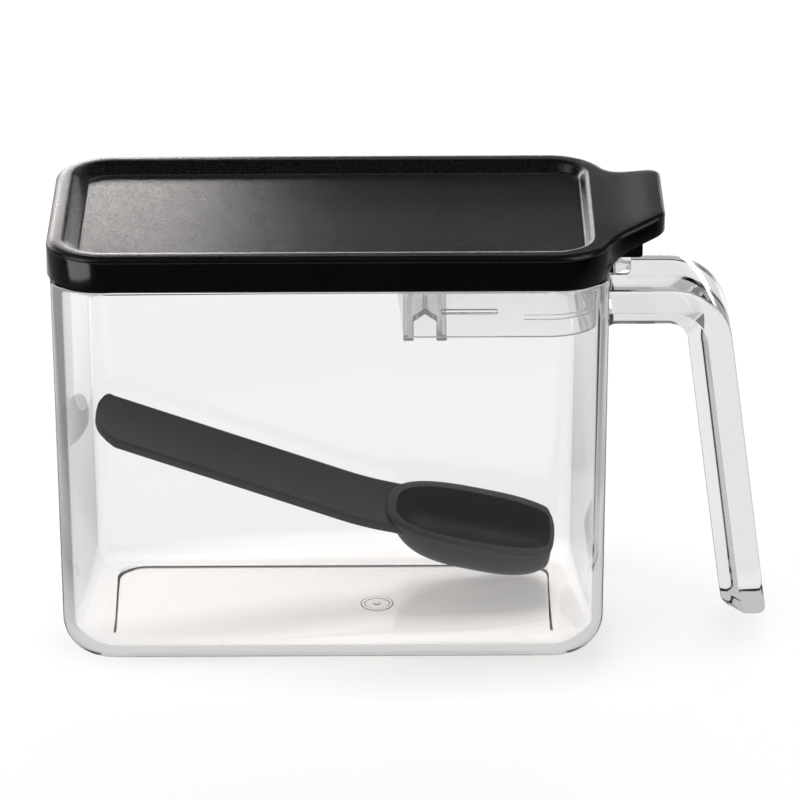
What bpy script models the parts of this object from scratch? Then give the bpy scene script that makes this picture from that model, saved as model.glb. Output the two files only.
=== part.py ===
# Spice jar: a clear rectangular jar with a strap handle, a hinged lid with a thumb tab,
# a drop-in hinge frame with a levelling bar, and a measuring spoon lying inside.
# Everything is in metres with +Z up. X runs along the jar towards the handle, Y across it.
# Sizes are worked out from the jar's own centre line; the last step sets the whole
# assembly with the middle of its footprint over the origin.

import math

import bmesh
import bpy
from mathutils import Matrix, Vector

MM = 0.001

# Jar
JAR_LENGTH = 128.7 * MM  # outside, at the shoulder
JAR_WIDTH = 66.9 * MM
JAR_HEIGHT = 101.0 * MM  # to the rim
JAR_CORNER = 13.0 * MM  # outside corner radius at the shoulder
JAR_INNER_CORNER = 11.4 * MM
JAR_WALL = 2.6 * MM
JAR_FLOOR = 2.6 * MM
JAR_DRAFT = math.radians(0.47)
JAR_FOOT_RADIUS = 8.8 * MM  # rounding between the walls and the base, outside
JAR_INNER_FOOT_RADIUS = 6.2 * MM
RIM_ROUND = 0.4 * MM
SHOULDER_ROUND = 0.4 * MM
RECESS_LENGTH = 105.6 * MM  # shallow panel under the base
RECESS_WIDTH = 44.4 * MM
RECESS_CORNER = 7.5 * MM
RECESS_DEPTH = 0.9 * MM
RECESS_SLOPE = 0.8 * MM
NOTCH_HALF_WIDTH = 10.3 * MM  # cut in the rim at the handle end for the hinge saddle
NOTCH_DEPTH = 4.0 * MM

# Handle: a flat strap whose inside is bevelled down to a narrower face
HANDLE_WIDTH = 23.2 * MM
HANDLE_TOP = 86.7 * MM
STRAP_THICKNESS = 5.7 * MM
RIB_WIDTH = 14.2 * MM
RIB_DEPTH = 4.5 * MM
HANDLE_REACH = 14.6 * MM  # from the jar's end to the middle of the bend
HANDLE_INNER_BEND = 4.5 * MM
HANDLE_LEAN = math.radians(7.6)
HANDLE_FOOT_GAP = 3.5 * MM  # from the strap's lower end to the table
STRAP_END_ROUND = 2.2 * MM
RIB_END_ROUND = 3.4 * MM
HANDLE_ROOT_FILLET = 2.0 * MM
HANDLE_EDGE = 0.9 * MM
HANDLE_ROOT_SINK = 1.2 * MM  # how far the handle runs into the jar's wall

# Lid
LID_PROUD = 0.65 * MM  # the skirt stands this far outside the jar's wall
LID_WALL = 2.0 * MM
SKIRT_WALL = 1.5 * MM
SKIRT_HEIGHT = 8.2 * MM
SHOULDER_GAP = 0.6 * MM  # under the skirt
SKIRT_CLEARANCE = 0.5 * MM  # between the skirt and the neck
SEAT_GAP = 0.3 * MM
LID_EDGE = 1.5 * MM  # rounding of the lid's upper edge
PANEL_BORDER = 7.0 * MM  # raised border round the sunken top panel
PANEL_DROP = 3.5 * MM
COVE_OFFSET = 1.0 * MM  # moves the cove outwards on the underside, to keep the wall even
TAB_REACH = 12.2 * MM
TAB_TIP_HALF = 15.2 * MM
TAB_TAPER = math.radians(29)
TAB_TIP_ROUND = 4.2 * MM
TAB_FLARE = 12.0 * MM
TAB_LIFT = 3.5 * MM
TAB_LIFT_START = 4.0 * MM  # before the lid's end
TAB_RIM = 4.1 * MM
TAB_RIM_RUN = 6.5 * MM

# Hinge
PIVOT_REACH = 4.95 * MM  # outside the jar's wall
PIVOT_RISE = 1.5 * MM  # above the skirt's lower edge
PIN_RADIUS = 1.5 * MM
PIN_CLEARANCE = 0.15 * MM
LEG_THICKNESS = 2.2 * MM
LEG_WIDTH = 5.8 * MM
LEG_DROP = 2.0 * MM  # below the pivot
LEG_ROUND = 0.8 * MM
PLAY = 0.3 * MM  # running gap between parts that slide past each other

# Hinge frame
BAND_WALL = 1.6 * MM
BAND_BELOW_RIM = 2.5 * MM
BAND_HEIGHT = 15.3 * MM
BAND_FIT = 0.3 * MM
BAND_REACH = 46.7 * MM  # from the handle end of the jar's inside to the frame's free ends
BAND_END_SLANT = 2.0 * MM
BAR_SETBACK = 1.8 * MM  # from the lower end of the band to the bar's foot
BAR_FOOT_WIDTH = 10.0 * MM
BAR_FOOT_THICKNESS = 1.4 * MM
BAR_WIDTH = 7.6 * MM
BAR_WALL = 1.2 * MM
BAR_EAVES = 5.3 * MM
BAR_RIDGE = 8.0 * MM
BAR_BELOW_BAND = 1.0 * MM
BEAD_HEIGHT = 1.1 * MM
BEAD_DEPTH = 0.7 * MM
BEAD_RUN = 17.0 * MM
BEAD_RISE = 4.0 * MM
SLOT_LENGTH = 13.0 * MM
SLOT_HEIGHT = 1.3 * MM
SLOT_RISE = 5.6 * MM
SLOT_AFTER_BAR = 3.0 * MM
SADDLE_THICKNESS = 2.0 * MM
LUG_PLATE = 1.5 * MM
LUG_WIDTH = 2.5 * MM
LUG_HEIGHT = 9.4 * MM
LUG_DEPTH = 5.0 * MM
LUG_BOSS = 2.7 * MM
LUG_ROUND = 1.4 * MM

# Measuring spoon
BOWL_LENGTH = 43.4 * MM
BOWL_WIDTH = 20.8 * MM
BOWL_DEPTH = 12.4 * MM
BOWL_WALL = 1.4 * MM
BOWL_SQUARENESS = 2.8  # 2 is an ellipse, larger is boxier
BOWL_SECTION_POWER = 0.42  # under 1 fills out the bowl's section
BOWL_KEEL_SHIFT = 1.7 * MM  # the deepest point lies this far towards the tip
BOWL_LIP = 0.7 * MM  # the rim stands this far outside the bowl
BOWL_LIP_HEIGHT = 1.4 * MM
GRIP_END_GAP = 1.1 * MM  # from the grip's end to the jar's end wall, at the wall's foot
GRIP_WIDTH = 15.3 * MM
GRIP_THICKNESS = 2.6 * MM
GRIP_DROP = 0.7 * MM  # the grip's top starts this far below the bowl's rim
GRIP_SINK = 5.0 * MM  # how far the grip runs into the bowl's end
GRIP_RISE = math.radians(9.9)
GRIP_BEND_LENGTH = 11.0 * MM
GRIP_END_ROUND = 6.5 * MM
GRIP_CROWN = 0.4 * MM
GRIP_EDGE = 0.6 * MM
SPOON_PITCH = math.radians(10.5)
SPOON_ROLL = math.radians(20.4)
SPOON_YAW = math.radians(-3.7)
SPOON_FROM_END = 30.05 * MM  # from the bowl's middle to the jar's handle end
SPOON_FROM_SIDE = 17.75 * MM
SPOON_FLOOR_GAP = 0.3 * MM

# How finely curves are cut, as numbers of steps
CORNER_STEPS = 8
FILLET_STEPS = 5
EDGE_STEPS = 3
HANDLE_BEND_STEPS = 9
TAB_TIP_STEPS = 5
TAB_FLARE_STEPS = 7
PIN_STEPS = 24
EYE_STEPS = 12
BOWL_STEPS = 8
BOWL_SIDES = 32
GRIP_STEPS = 4

LEAST_RADIUS = 0.4 * MM  # no corner is rounded by less
ON_AXIS = 0.001 * MM
BORDER_SHARES = (0.93, 0.72, 0.48, 0.24, 0.0)  # where the cove of the lid's border is cut
BOWL_LAST_ANGLE = math.radians(84)  # of a quarter turn from the bowl's rim to its keel
EYE_END_ANGLE = 130  # where the eye of a lug runs back into its cheek, degrees
GRIP_END_ANGLES = (22, 44, 64, 80, 88)

# Sizes that follow from the ones above
LID_LENGTH = JAR_LENGTH + 2 * LID_PROUD
LID_WIDTH = JAR_WIDTH + 2 * LID_PROUD
LID_CORNER = JAR_CORNER + LID_PROUD
LID_END = LID_LENGTH / 2
NECK_INSET = SKIRT_WALL + SKIRT_CLEARANCE  # from the lid's outside to the neck's
COVE_WIDTH = PANEL_BORDER - LID_EDGE
COVE_RADIUS = (COVE_WIDTH**2 + PANEL_DROP**2) / (2 * PANEL_DROP)


def cove_fall(distance):
    """How far the lid's border has fallen from its crest, this far outside the panel's edge."""
    run = COVE_WIDTH - min(max(distance, 0.0), COVE_WIDTH)
    return COVE_RADIUS - math.sqrt(max(COVE_RADIUS**2 - run**2, 0.0))


RIM_TO_PANEL = PANEL_BORDER - LID_PROUD - JAR_WALL
LID_CREST = JAR_HEIGHT + SEAT_GAP + LID_WALL + cove_fall(RIM_TO_PANEL - COVE_OFFSET)
SKIRT_BOTTOM = LID_CREST - SKIRT_HEIGHT
SHOULDER = SKIRT_BOTTOM - SHOULDER_GAP
PIVOT = Vector((JAR_LENGTH / 2 + PIVOT_REACH, 0.0, SKIRT_BOTTOM + PIVOT_RISE))
NOTCH_BOTTOM = JAR_HEIGHT - NOTCH_DEPTH
SADDLE_HALF_WIDTH = NOTCH_HALF_WIDTH - PLAY
SADDLE_BOTTOM = NOTCH_BOTTOM + PLAY
SADDLE_TOP = SADDLE_BOTTOM + SADDLE_THICKNESS
LUG_FACE = JAR_LENGTH / 2 + PLAY  # of the plate that hangs outside the jar's wall
LUG_BOTTOM = SADDLE_TOP - LUG_HEIGHT
LEG_INNER = SADDLE_HALF_WIDTH + PLAY
BAND_TOP = JAR_HEIGHT - BAND_BELOW_RIM
BAND_BOTTOM = BAND_TOP - BAND_HEIGHT


def clear_scene():
    for obj in list(bpy.data.objects):
        bpy.data.objects.remove(obj, do_unlink=True)


def plastic(name, colour, roughness, alpha=1.0, transmission=0.0):
    material = bpy.data.materials.new(name)
    material.use_nodes = True
    shader = material.node_tree.nodes["Principled BSDF"]
    shader.inputs["Base Color"].default_value = (*colour, 1.0)
    shader.inputs["Roughness"].default_value = roughness
    shader.inputs["Metallic"].default_value = 0.0
    shader.inputs["Alpha"].default_value = alpha
    shader.inputs["Transmission Weight"].default_value = transmission
    return material


def object_from(name, bm, material=None, helper=False):
    """Turns a bmesh into an object, with its faces pointing out; a helper shapes other objects."""
    bmesh.ops.recalc_face_normals(bm, faces=bm.faces)
    mesh = bpy.data.meshes.new(name)
    bm.to_mesh(mesh)
    bm.free()
    mesh.shade_smooth()
    mesh.set_sharp_from_angle(angle=math.radians(35))
    obj = bpy.data.objects.new(name, mesh)
    bpy.context.scene.collection.objects.link(obj)
    if material:
        mesh.materials.append(material)
    if helper:
        obj.hide_render = True
        obj.display_type = "WIRE"
    return obj


def boolean(obj, other, operation):
    modifier = obj.modifiers.new(other.name, "BOOLEAN")
    modifier.operation = operation
    modifier.object = other
    modifier.solver = "EXACT"


def arc(centre, radius, start, end, steps):
    """Points of an arc in a plane, both ends included; angles in degrees."""
    points = []
    for i in range(steps + 1):
        angle = math.radians(start + (end - start) * i / steps)
        points.append((centre[0] + radius * math.cos(angle), centre[1] + radius * math.sin(angle)))
    return points


def rounded_rectangle(half_length, half_width, radius, steps=CORNER_STEPS):
    """Outline of a rounded rectangle, anticlockwise from its +X side."""
    points = []
    for x_side, y_side, start in ((1, 1, 0), (-1, 1, 90), (-1, -1, 180), (1, -1, 270)):
        centre = (x_side * (half_length - radius), y_side * (half_width - radius))
        points += arc(centre, radius, start, start + 90, steps)
    return points


def loft(bm, rings):
    """Skins a list of rings of equally many points, and closes the first and the last with a face."""
    made = [[bm.verts.new(point) for point in ring] for ring in rings]
    count = len(made[0])
    for low, high in zip(made, made[1:]):
        for i in range(count):
            j = (i + 1) % count
            bm.faces.new((low[i], low[j], high[j], high[i]))
    bm.faces.new(list(reversed(made[0])))
    bm.faces.new(made[-1])


def at_height(outline, height):
    return [(x, y, height) for x, y in outline]


def prism_across(bm, profile, half_width, middle=0.0):
    """Extrudes an outline in the XZ plane across Y."""
    rings = [[(x, middle + side * half_width, z) for x, z in profile] for side in (-1, 1)]
    loft(bm, rings)


def box(bm, low, high):
    profile = [(low[0], low[2]), (high[0], low[2]), (high[0], high[2]), (low[0], high[2])]
    prism_across(bm, profile, (high[1] - low[1]) / 2, (high[1] + low[1]) / 2)


# The jar


def wall_inset(height):
    """How far the drafted wall has drawn in below the shoulder."""
    return math.tan(JAR_DRAFT) * max(SHOULDER - height, 0.0)


def jar_ring(inset, height, radius):
    radius = max(radius, LEAST_RADIUS)
    outline = rounded_rectangle(JAR_LENGTH / 2 - inset, JAR_WIDTH / 2 - inset, radius)
    return at_height(outline, height)


def jar_outer_ring(inset, height):
    return jar_ring(inset, height, JAR_CORNER - inset)


def jar_inner_ring(inset, height):
    return jar_ring(inset, height, JAR_INNER_CORNER + JAR_WALL - inset)


def foot_rings(ring, base_inset, base_height, radius):
    """Rings of the rounding from a flat base up to the wall above it."""
    rings = []
    for i in range(FILLET_STEPS + 1):
        angle = math.radians(90) * i / FILLET_STEPS
        inset = base_inset + radius * (1 - math.sin(angle))
        rings.append(ring(inset, base_height + radius * (1 - math.cos(angle))))
    return rings


def jar_tank():
    neck_inset = NECK_INSET - LID_PROUD
    recess_top = rounded_rectangle(
        RECESS_LENGTH / 2 - RECESS_SLOPE,
        RECESS_WIDTH / 2 - RECESS_SLOPE,
        RECESS_CORNER - RECESS_SLOPE,
    )
    recess_edge = rounded_rectangle(RECESS_LENGTH / 2, RECESS_WIDTH / 2, RECESS_CORNER)
    rings = [at_height(recess_top, RECESS_DEPTH), at_height(recess_edge, 0.0)]
    rings += foot_rings(jar_outer_ring, wall_inset(JAR_FOOT_RADIUS), 0.0, JAR_FOOT_RADIUS)
    rings += [
        jar_outer_ring(0.0, SHOULDER - SHOULDER_ROUND),
        jar_outer_ring(SHOULDER_ROUND, SHOULDER),
        jar_outer_ring(neck_inset, SHOULDER),
        jar_outer_ring(neck_inset, JAR_HEIGHT - RIM_ROUND),
        jar_outer_ring(neck_inset + RIM_ROUND, JAR_HEIGHT),
        jar_inner_ring(JAR_WALL - RIM_ROUND, JAR_HEIGHT),
        jar_inner_ring(JAR_WALL, JAR_HEIGHT - RIM_ROUND),
    ]
    inner_foot = JAR_FLOOR + JAR_INNER_FOOT_RADIUS
    inner = foot_rings(
        jar_inner_ring, JAR_WALL + wall_inset(inner_foot), JAR_FLOOR, JAR_INNER_FOOT_RADIUS
    )
    rings += reversed(inner)
    bm = bmesh.new()
    loft(bm, rings)
    return bm


def handle_section():
    """Half of the strap's section: depths below its outer face, with distances from its middle."""
    half = HANDLE_WIDTH / 2
    rib = RIB_WIDTH / 2
    depth = STRAP_THICKNESS + RIB_DEPTH
    points = arc((HANDLE_EDGE, half - HANDLE_EDGE), HANDLE_EDGE, 180, 90, EDGE_STEPS)
    points.append((STRAP_THICKNESS, half))
    points.append((depth - HANDLE_EDGE / 2, rib + HANDLE_EDGE / 2))
    points.append((depth, rib - HANDLE_EDGE / 2))
    return points


def handle_bend():
    """Middle and outer radius of the bend at the top of the handle."""
    radius = HANDLE_INNER_BEND + STRAP_THICKNESS + RIB_DEPTH
    return Vector((JAR_LENGTH / 2 + HANDLE_REACH, HANDLE_TOP - radius)), radius


def rounding(radius, distance):
    """How far a rounded edge stands back, this far from the face that it runs into."""
    short = max(radius - distance, 0.0)
    return radius - math.sqrt(max(radius**2 - short**2, 0.0))


def handle_ring(outer, inner, near=0.0, far=0.0, narrow=0.0):
    """One section, between a point on the outer face and one on the inner face, each drawn in."""
    half = HANDLE_WIDTH / 2
    depth = (outer - inner).length
    inwards = (inner - outer) / depth
    share = (depth - near - far) / (STRAP_THICKNESS + RIB_DEPTH)
    ring = []
    for below, across in handle_section():
        point = outer + inwards * (near + below * share)
        ring.append((point.x, across * (half - narrow) / half, point.y))
    return ring + [(x, -y, z) for x, y, z in reversed(ring)]


def make_handle():
    centre, bend = handle_bend()
    depth = STRAP_THICKNESS + RIB_DEPTH
    wall = JAR_LENGTH / 2 - wall_inset(HANDLE_TOP)
    rings = []
    for i in range(FILLET_STEPS + 1):
        angle = math.radians(90) * i / FILLET_STEPS
        x = wall + HANDLE_ROOT_FILLET * (1 - math.cos(angle))
        fillet = HANDLE_ROOT_FILLET * (1 - math.sin(angle))
        rings.append((Vector((x, HANDLE_TOP)), Vector((x, HANDLE_TOP - depth - fillet))))
    root = Vector((-HANDLE_ROOT_SINK, 0.0))
    rings.insert(0, (rings[0][0] + root, rings[0][1] + root))
    for i in range(HANDLE_BEND_STEPS + 1):
        angle = math.radians(90) + (HANDLE_LEAN - math.radians(90)) * i / HANDLE_BEND_STEPS
        ray = Vector((math.cos(angle), math.sin(angle)))
        rings.append((centre + bend * ray, centre + (bend - depth) * ray))
    rings = [handle_ring(outer, inner) for outer, inner in rings]
    top, across = centre + bend * ray, depth / math.cos(HANDLE_LEAN)
    for i in range(FILLET_STEPS + 1):
        rise = RIB_END_ROUND * (1 - math.sin(math.radians(90) * i / FILLET_STEPS))
        height = HANDLE_FOOT_GAP + rise
        outer = Vector((top.x + (top.y - height) * math.tan(HANDLE_LEAN), height))
        rings.append(
            handle_ring(
                outer,
                outer - Vector((across, 0.0)),
                rounding(STRAP_END_ROUND, rise),
                rounding(RIB_END_ROUND, rise),
                rounding(HANDLE_EDGE, rise),
            )
        )
    bm = bmesh.new()
    loft(bm, rings)
    return bm


def handle_end_x():
    centre, bend = handle_bend()
    lean = math.tan(HANDLE_LEAN)
    top = centre + bend * Vector((math.cos(HANDLE_LEAN), math.sin(HANDLE_LEAN)))
    return max(top.x + (top.y - HANDLE_FOOT_GAP - STRAP_END_ROUND) * lean, top.x)


def make_jar(material):
    jar = object_from("jar", jar_tank(), material)
    boolean(jar, object_from("handle_shape", make_handle(), helper=True), "UNION")
    bm = bmesh.new()
    inside = JAR_LENGTH / 2 - 2 * JAR_WALL
    outside = LID_END + JAR_WALL
    box(bm, (inside, -NOTCH_HALF_WIDTH, NOTCH_BOTTOM), (outside, NOTCH_HALF_WIDTH, LID_CREST))
    boolean(jar, object_from("notch_shape", bm, helper=True), "DIFFERENCE")
    return jar


# The lid


def tab_frame():
    """Centres of the lid's corner and of the flare, the tab's side line, and where the arcs meet."""
    corner = Vector((LID_END - LID_CORNER, LID_WIDTH / 2 - LID_CORNER))
    along = Vector((math.cos(TAB_TAPER), -math.sin(TAB_TAPER)))
    outwards = Vector((math.sin(TAB_TAPER), math.cos(TAB_TAPER)))
    tip = Vector((LID_END + TAB_REACH, TAB_TIP_HALF))
    # The flare's centre lies one flare radius outside the side line, and touches the corner's arc.
    reach = LID_CORNER + TAB_FLARE
    base = tip + TAB_FLARE * outwards - corner
    half = base.dot(along)
    back = -half + math.sqrt(half**2 - base.length_squared + reach**2)
    flare = tip + TAB_FLARE * outwards + back * along
    to_flare = flare - corner
    meet = math.degrees(math.atan2(to_flare.y, to_flare.x))
    return corner, flare, outwards, tip, meet


def lid_half_outline(inset):
    """The lid's outline for Y from low to high on its +Y half, moved inwards by a distance."""
    corner, flare, outwards, tip, meet = tab_frame()
    side = math.degrees(math.atan2(outwards.y, outwards.x))
    tip_round = max(TAB_TIP_ROUND - inset, LEAST_RADIUS)
    # The tip's rounding touches the side line and the tip's edge.
    back = TAB_TIP_ROUND * math.tan(math.radians(side) / 2)
    centre = (tip.x - TAB_TIP_ROUND, tip.y - back)
    straight = [centre[1] * i / TAB_TIP_STEPS for i in range(TAB_TIP_STEPS)]
    points = [(LID_END + TAB_REACH - inset, y) for y in straight]
    points += arc(centre, tip_round, 0, side, TAB_TIP_STEPS)
    points += arc(flare, TAB_FLARE + inset, side + 180, meet + 180, TAB_FLARE_STEPS)
    points += arc(corner, LID_CORNER - inset, meet, 90, CORNER_STEPS)[1:]
    points += arc((-corner.x, corner.y), LID_CORNER - inset, 90, 180, CORNER_STEPS)
    return points


def mirrored(half):
    """Closes a half outline with its mirror image in Y; a point on the axis stays single."""
    other = [(x, -y) for x, y in reversed(half) if y > ON_AXIS]
    return half + other


def lid_outline(inset):
    return mirrored(lid_half_outline(inset))


def panel_outline(outset):
    """A rounded rectangle round the sunken panel, with one point for each point of the lid's outline."""
    half_length = LID_END - PANEL_BORDER + outset
    half_width = LID_WIDTH / 2 - PANEL_BORDER + outset
    radius = LID_CORNER - PANEL_BORDER + outset
    corner, _, _, _, meet = tab_frame()
    outer = lid_half_outline(0.0)
    tab_count = len(outer) - 2 * CORNER_STEPS - 1
    meet_y = corner.y + radius * math.sin(math.radians(meet))
    widest = outer[tab_count - 1][1]
    points = []
    for _, y in outer[:tab_count]:
        own_y = y * meet_y / widest
        beyond = max(own_y - corner.y, 0.0)
        own_x = half_length - radius + math.sqrt(radius**2 - beyond**2)
        points.append((own_x, own_y))
    points += arc((half_length - radius, half_width - radius), radius, meet, 90, CORNER_STEPS)[1:]
    points += arc((radius - half_length, half_width - radius), radius, 90, 180, CORNER_STEPS)
    return mirrored(points)


def tab_lift(x):
    start = LID_END - TAB_LIFT_START
    run = (x - start) / (TAB_REACH + TAB_LIFT_START)
    return TAB_LIFT * max(run, 0.0) ** 2


def skirt_bottom(x):
    """The lower edge: level round the jar, then rising to the rim under the tab."""
    rim = LID_CREST + tab_lift(x) - TAB_RIM
    run = min(max((x - (LID_END - SKIRT_WALL)) / TAB_RIM_RUN, 0.0), 1.0)
    share = math.sqrt(1 - (1 - run) ** 2)
    return SKIRT_BOTTOM + (rim - SKIRT_BOTTOM) * share


def raised(outline, height):
    return [(x, y, height(x)) for x, y in outline]


def lid_shell():
    outer = lid_outline(0.0)
    inner = lid_outline(SKIRT_WALL)
    border = [COVE_WIDTH * share for share in BORDER_SHARES]

    def top(fall):
        return lambda x: LID_CREST - fall + tab_lift(x)

    rings = [raised(outer, skirt_bottom)]
    for i in range(EDGE_STEPS + 1):
        angle = math.radians(90) * i / EDGE_STEPS
        inset = LID_EDGE * (1 - math.cos(angle))
        rings.append(raised(lid_outline(inset), top(LID_EDGE * (1 - math.sin(angle)))))
    crest = lid_outline(LID_EDGE)
    inside = panel_outline(border[0])
    for share in (1 / 3, 2 / 3):
        blend = [
            (a[0] + (b[0] - a[0]) * share, a[1] + (b[1] - a[1]) * share)
            for a, b in zip(crest, inside)
        ]
        rings.append(raised(blend, top(cove_fall(border[0]) * share)))
    rings += [raised(panel_outline(d), top(cove_fall(d))) for d in border]
    under = [
        raised(panel_outline(COVE_OFFSET + d), top(cove_fall(d) + LID_WALL))
        for d in reversed(border[1:])
    ]
    under.append(raised(inner, top(LID_WALL)))
    under.append(raised(inner, skirt_bottom))
    return rings, under


def make_lid_mesh():
    bm = bmesh.new()
    rings, under = lid_shell()
    over = [[bm.verts.new(point) for point in ring] for ring in rings]
    below = [[bm.verts.new(point) for point in ring] for ring in under]
    count = len(over[0])

    def skin(first, second):
        for i in range(count):
            j = (i + 1) % count
            bm.faces.new((first[i], first[j], second[j], second[i]))

    for stack in (over, below):
        for first, second in zip(stack, stack[1:]):
            skin(first, second)
    skin(below[-1], over[0])
    bm.faces.new(over[-1])
    bm.faces.new(below[0])
    return bm


def leg_profile():
    half = LEG_WIDTH / 2
    bottom = PIVOT.z - LEG_DROP
    top = LID_CREST + tab_lift(PIVOT.x) - LID_WALL / 2
    points = arc((PIVOT.x + half - LEG_ROUND, bottom + LEG_ROUND), LEG_ROUND, -90, 0, EDGE_STEPS)
    points += [(PIVOT.x + half, top), (PIVOT.x - half, top)]
    points += arc((PIVOT.x - half + LEG_ROUND, bottom + LEG_ROUND), LEG_ROUND, 180, 270, EDGE_STEPS)
    return points


def make_lid(material):
    lid = object_from("lid", make_lid_mesh(), material)
    _, flare, _, _, _ = tab_frame()
    # Where the skirt's flare crosses the lid's end.
    flank = flare.y - math.sqrt(TAB_FLARE**2 - (LID_END - flare.x) ** 2)
    for side, word in ((-1, "near"), (1, "far")):
        # Wall that carries the skirt on under the tab, as far as the hinge saddle.
        bm = bmesh.new()
        ends = sorted((side * LEG_INNER, side * (flank - SKIRT_WALL / 2)))
        box(
            bm,
            (LID_END - SKIRT_WALL, ends[0], SKIRT_BOTTOM),
            (LID_END, ends[1], LID_CREST - LID_WALL / 2),
        )
        boolean(lid, object_from(f"closing_wall_{word}", bm, helper=True), "UNION")
        bm = bmesh.new()
        middle = side * (LEG_INNER + LEG_THICKNESS / 2)
        prism_across(bm, leg_profile(), LEG_THICKNESS / 2, middle)
        boolean(lid, object_from(f"leg_{word}", bm, helper=True), "UNION")
        bm = bmesh.new()
        start = LEG_INNER + LEG_THICKNESS / 2
        stop = SADDLE_HALF_WIDTH - LUG_WIDTH
        pin = arc((PIVOT.x, PIVOT.z), PIN_RADIUS, 0, 360, PIN_STEPS)[:-1]
        prism_across(bm, pin, (start - stop) / 2, side * (start + stop) / 2)
        boolean(lid, object_from(f"pin_{word}", bm, helper=True), "UNION")
    return lid


# The hinge frame


def frame_half_length():
    return JAR_LENGTH / 2 - JAR_WALL - wall_inset(BAND_BOTTOM) - BAND_FIT


def frame_half_width():
    return JAR_WIDTH / 2 - JAR_WALL - wall_inset(BAND_BOTTOM) - BAND_FIT


def band_path(inset, start):
    """U-shaped line round the handle end of the jar, from the near side's free end to the far one's."""
    half_length = frame_half_length() - inset
    half_width = frame_half_width() - inset
    radius = JAR_INNER_CORNER - inset
    centre_x = half_length - radius
    centre_y = half_width - radius
    points = [(start, -half_width)]
    points += arc((centre_x, -centre_y), radius, -90, 0, CORNER_STEPS)
    points += arc((centre_x, centre_y), radius, 0, 90, CORNER_STEPS)
    points.append((start, half_width))
    return points


def band_start():
    return frame_half_length() + BAND_FIT - BAND_REACH


def make_band():
    bm = bmesh.new()
    rings = []
    for height, slant in ((BAND_BOTTOM, BAND_END_SLANT), (BAND_TOP, 0.0)):
        start = band_start() + slant
        outline = band_path(0.0, start) + list(reversed(band_path(BAND_WALL, start)))
        rings.append(at_height(outline, height))
    loft(bm, rings)
    return bm


def make_bead():
    """Stiffening bead along the inside of the band, round the corner and part of the near side."""
    bm = bmesh.new()
    rings = []
    start = frame_half_length() - BEAD_RUN
    middle = BAND_BOTTOM + BEAD_RISE
    for height in (middle, middle + BEAD_HEIGHT):
        outer = band_path(BAND_WALL / 2, start)
        inner = band_path(BAND_WALL + BEAD_DEPTH, start)
        rings.append(at_height(outer + list(reversed(inner)), height))
    loft(bm, rings)
    return bm


def bar_middle():
    return band_start() + BAR_SETBACK + BAR_FOOT_WIDTH / 2


def bar_profile():
    """End view of the levelling bar: a hollow roof shape on two feet, open below."""
    x = bar_middle()
    foot = BAR_FOOT_WIDTH / 2
    half = BAR_WIDTH / 2
    base = BAND_BOTTOM - BAR_BELOW_BAND
    slope = (BAR_RIDGE - BAR_EAVES) / half
    inner_ridge = BAR_RIDGE - BAR_WALL * math.sqrt(1 + slope**2)
    inner_half = half - BAR_WALL
    inner_eaves = inner_ridge - slope * inner_half
    right = [
        (foot, 0.0),
        (foot, BAR_FOOT_THICKNESS),
        (half, BAR_FOOT_THICKNESS),
        (half, BAR_EAVES),
    ]
    inside = [(inner_half, 0.0), (inner_half, inner_eaves)]
    points = right + [(0.0, BAR_RIDGE)] + [(-a, b) for a, b in reversed(right)]
    points += [(-a, b) for a, b in inside] + [(0.0, inner_ridge)] + list(reversed(inside))
    return [(x + a, base + b) for a, b in points]


def saddle_profile():
    """Side view of the bridge over the jar's wall and the plate that hangs outside it."""
    inner = frame_half_length() - BAND_WALL / 2
    return [
        (inner, SADDLE_BOTTOM),
        (LUG_FACE, SADDLE_BOTTOM),
        (LUG_FACE, LUG_BOTTOM),
        (LUG_FACE + LUG_PLATE, LUG_BOTTOM),
        (LUG_FACE + LUG_PLATE, SADDLE_TOP),
        (inner, SADDLE_TOP),
    ]


def lug_profile():
    """Side view of one hinge lug: a cheek with a round eye about the pivot."""
    tip = LUG_FACE + LUG_DEPTH
    points = [(LUG_FACE, SADDLE_TOP), (LUG_FACE, LUG_BOTTOM)]
    points += arc((tip - LUG_ROUND, LUG_BOTTOM + LUG_ROUND), LUG_ROUND, -90, 0, FILLET_STEPS)
    # The cheek meets the eye where its front face crosses the eye's circle.
    reach = math.degrees(math.acos(min(max((tip - PIVOT.x) / LUG_BOSS, -1.0), 1.0)))
    points += arc((PIVOT.x, PIVOT.z), LUG_BOSS, -reach, EYE_END_ANGLE, EYE_STEPS)
    return points


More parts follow.
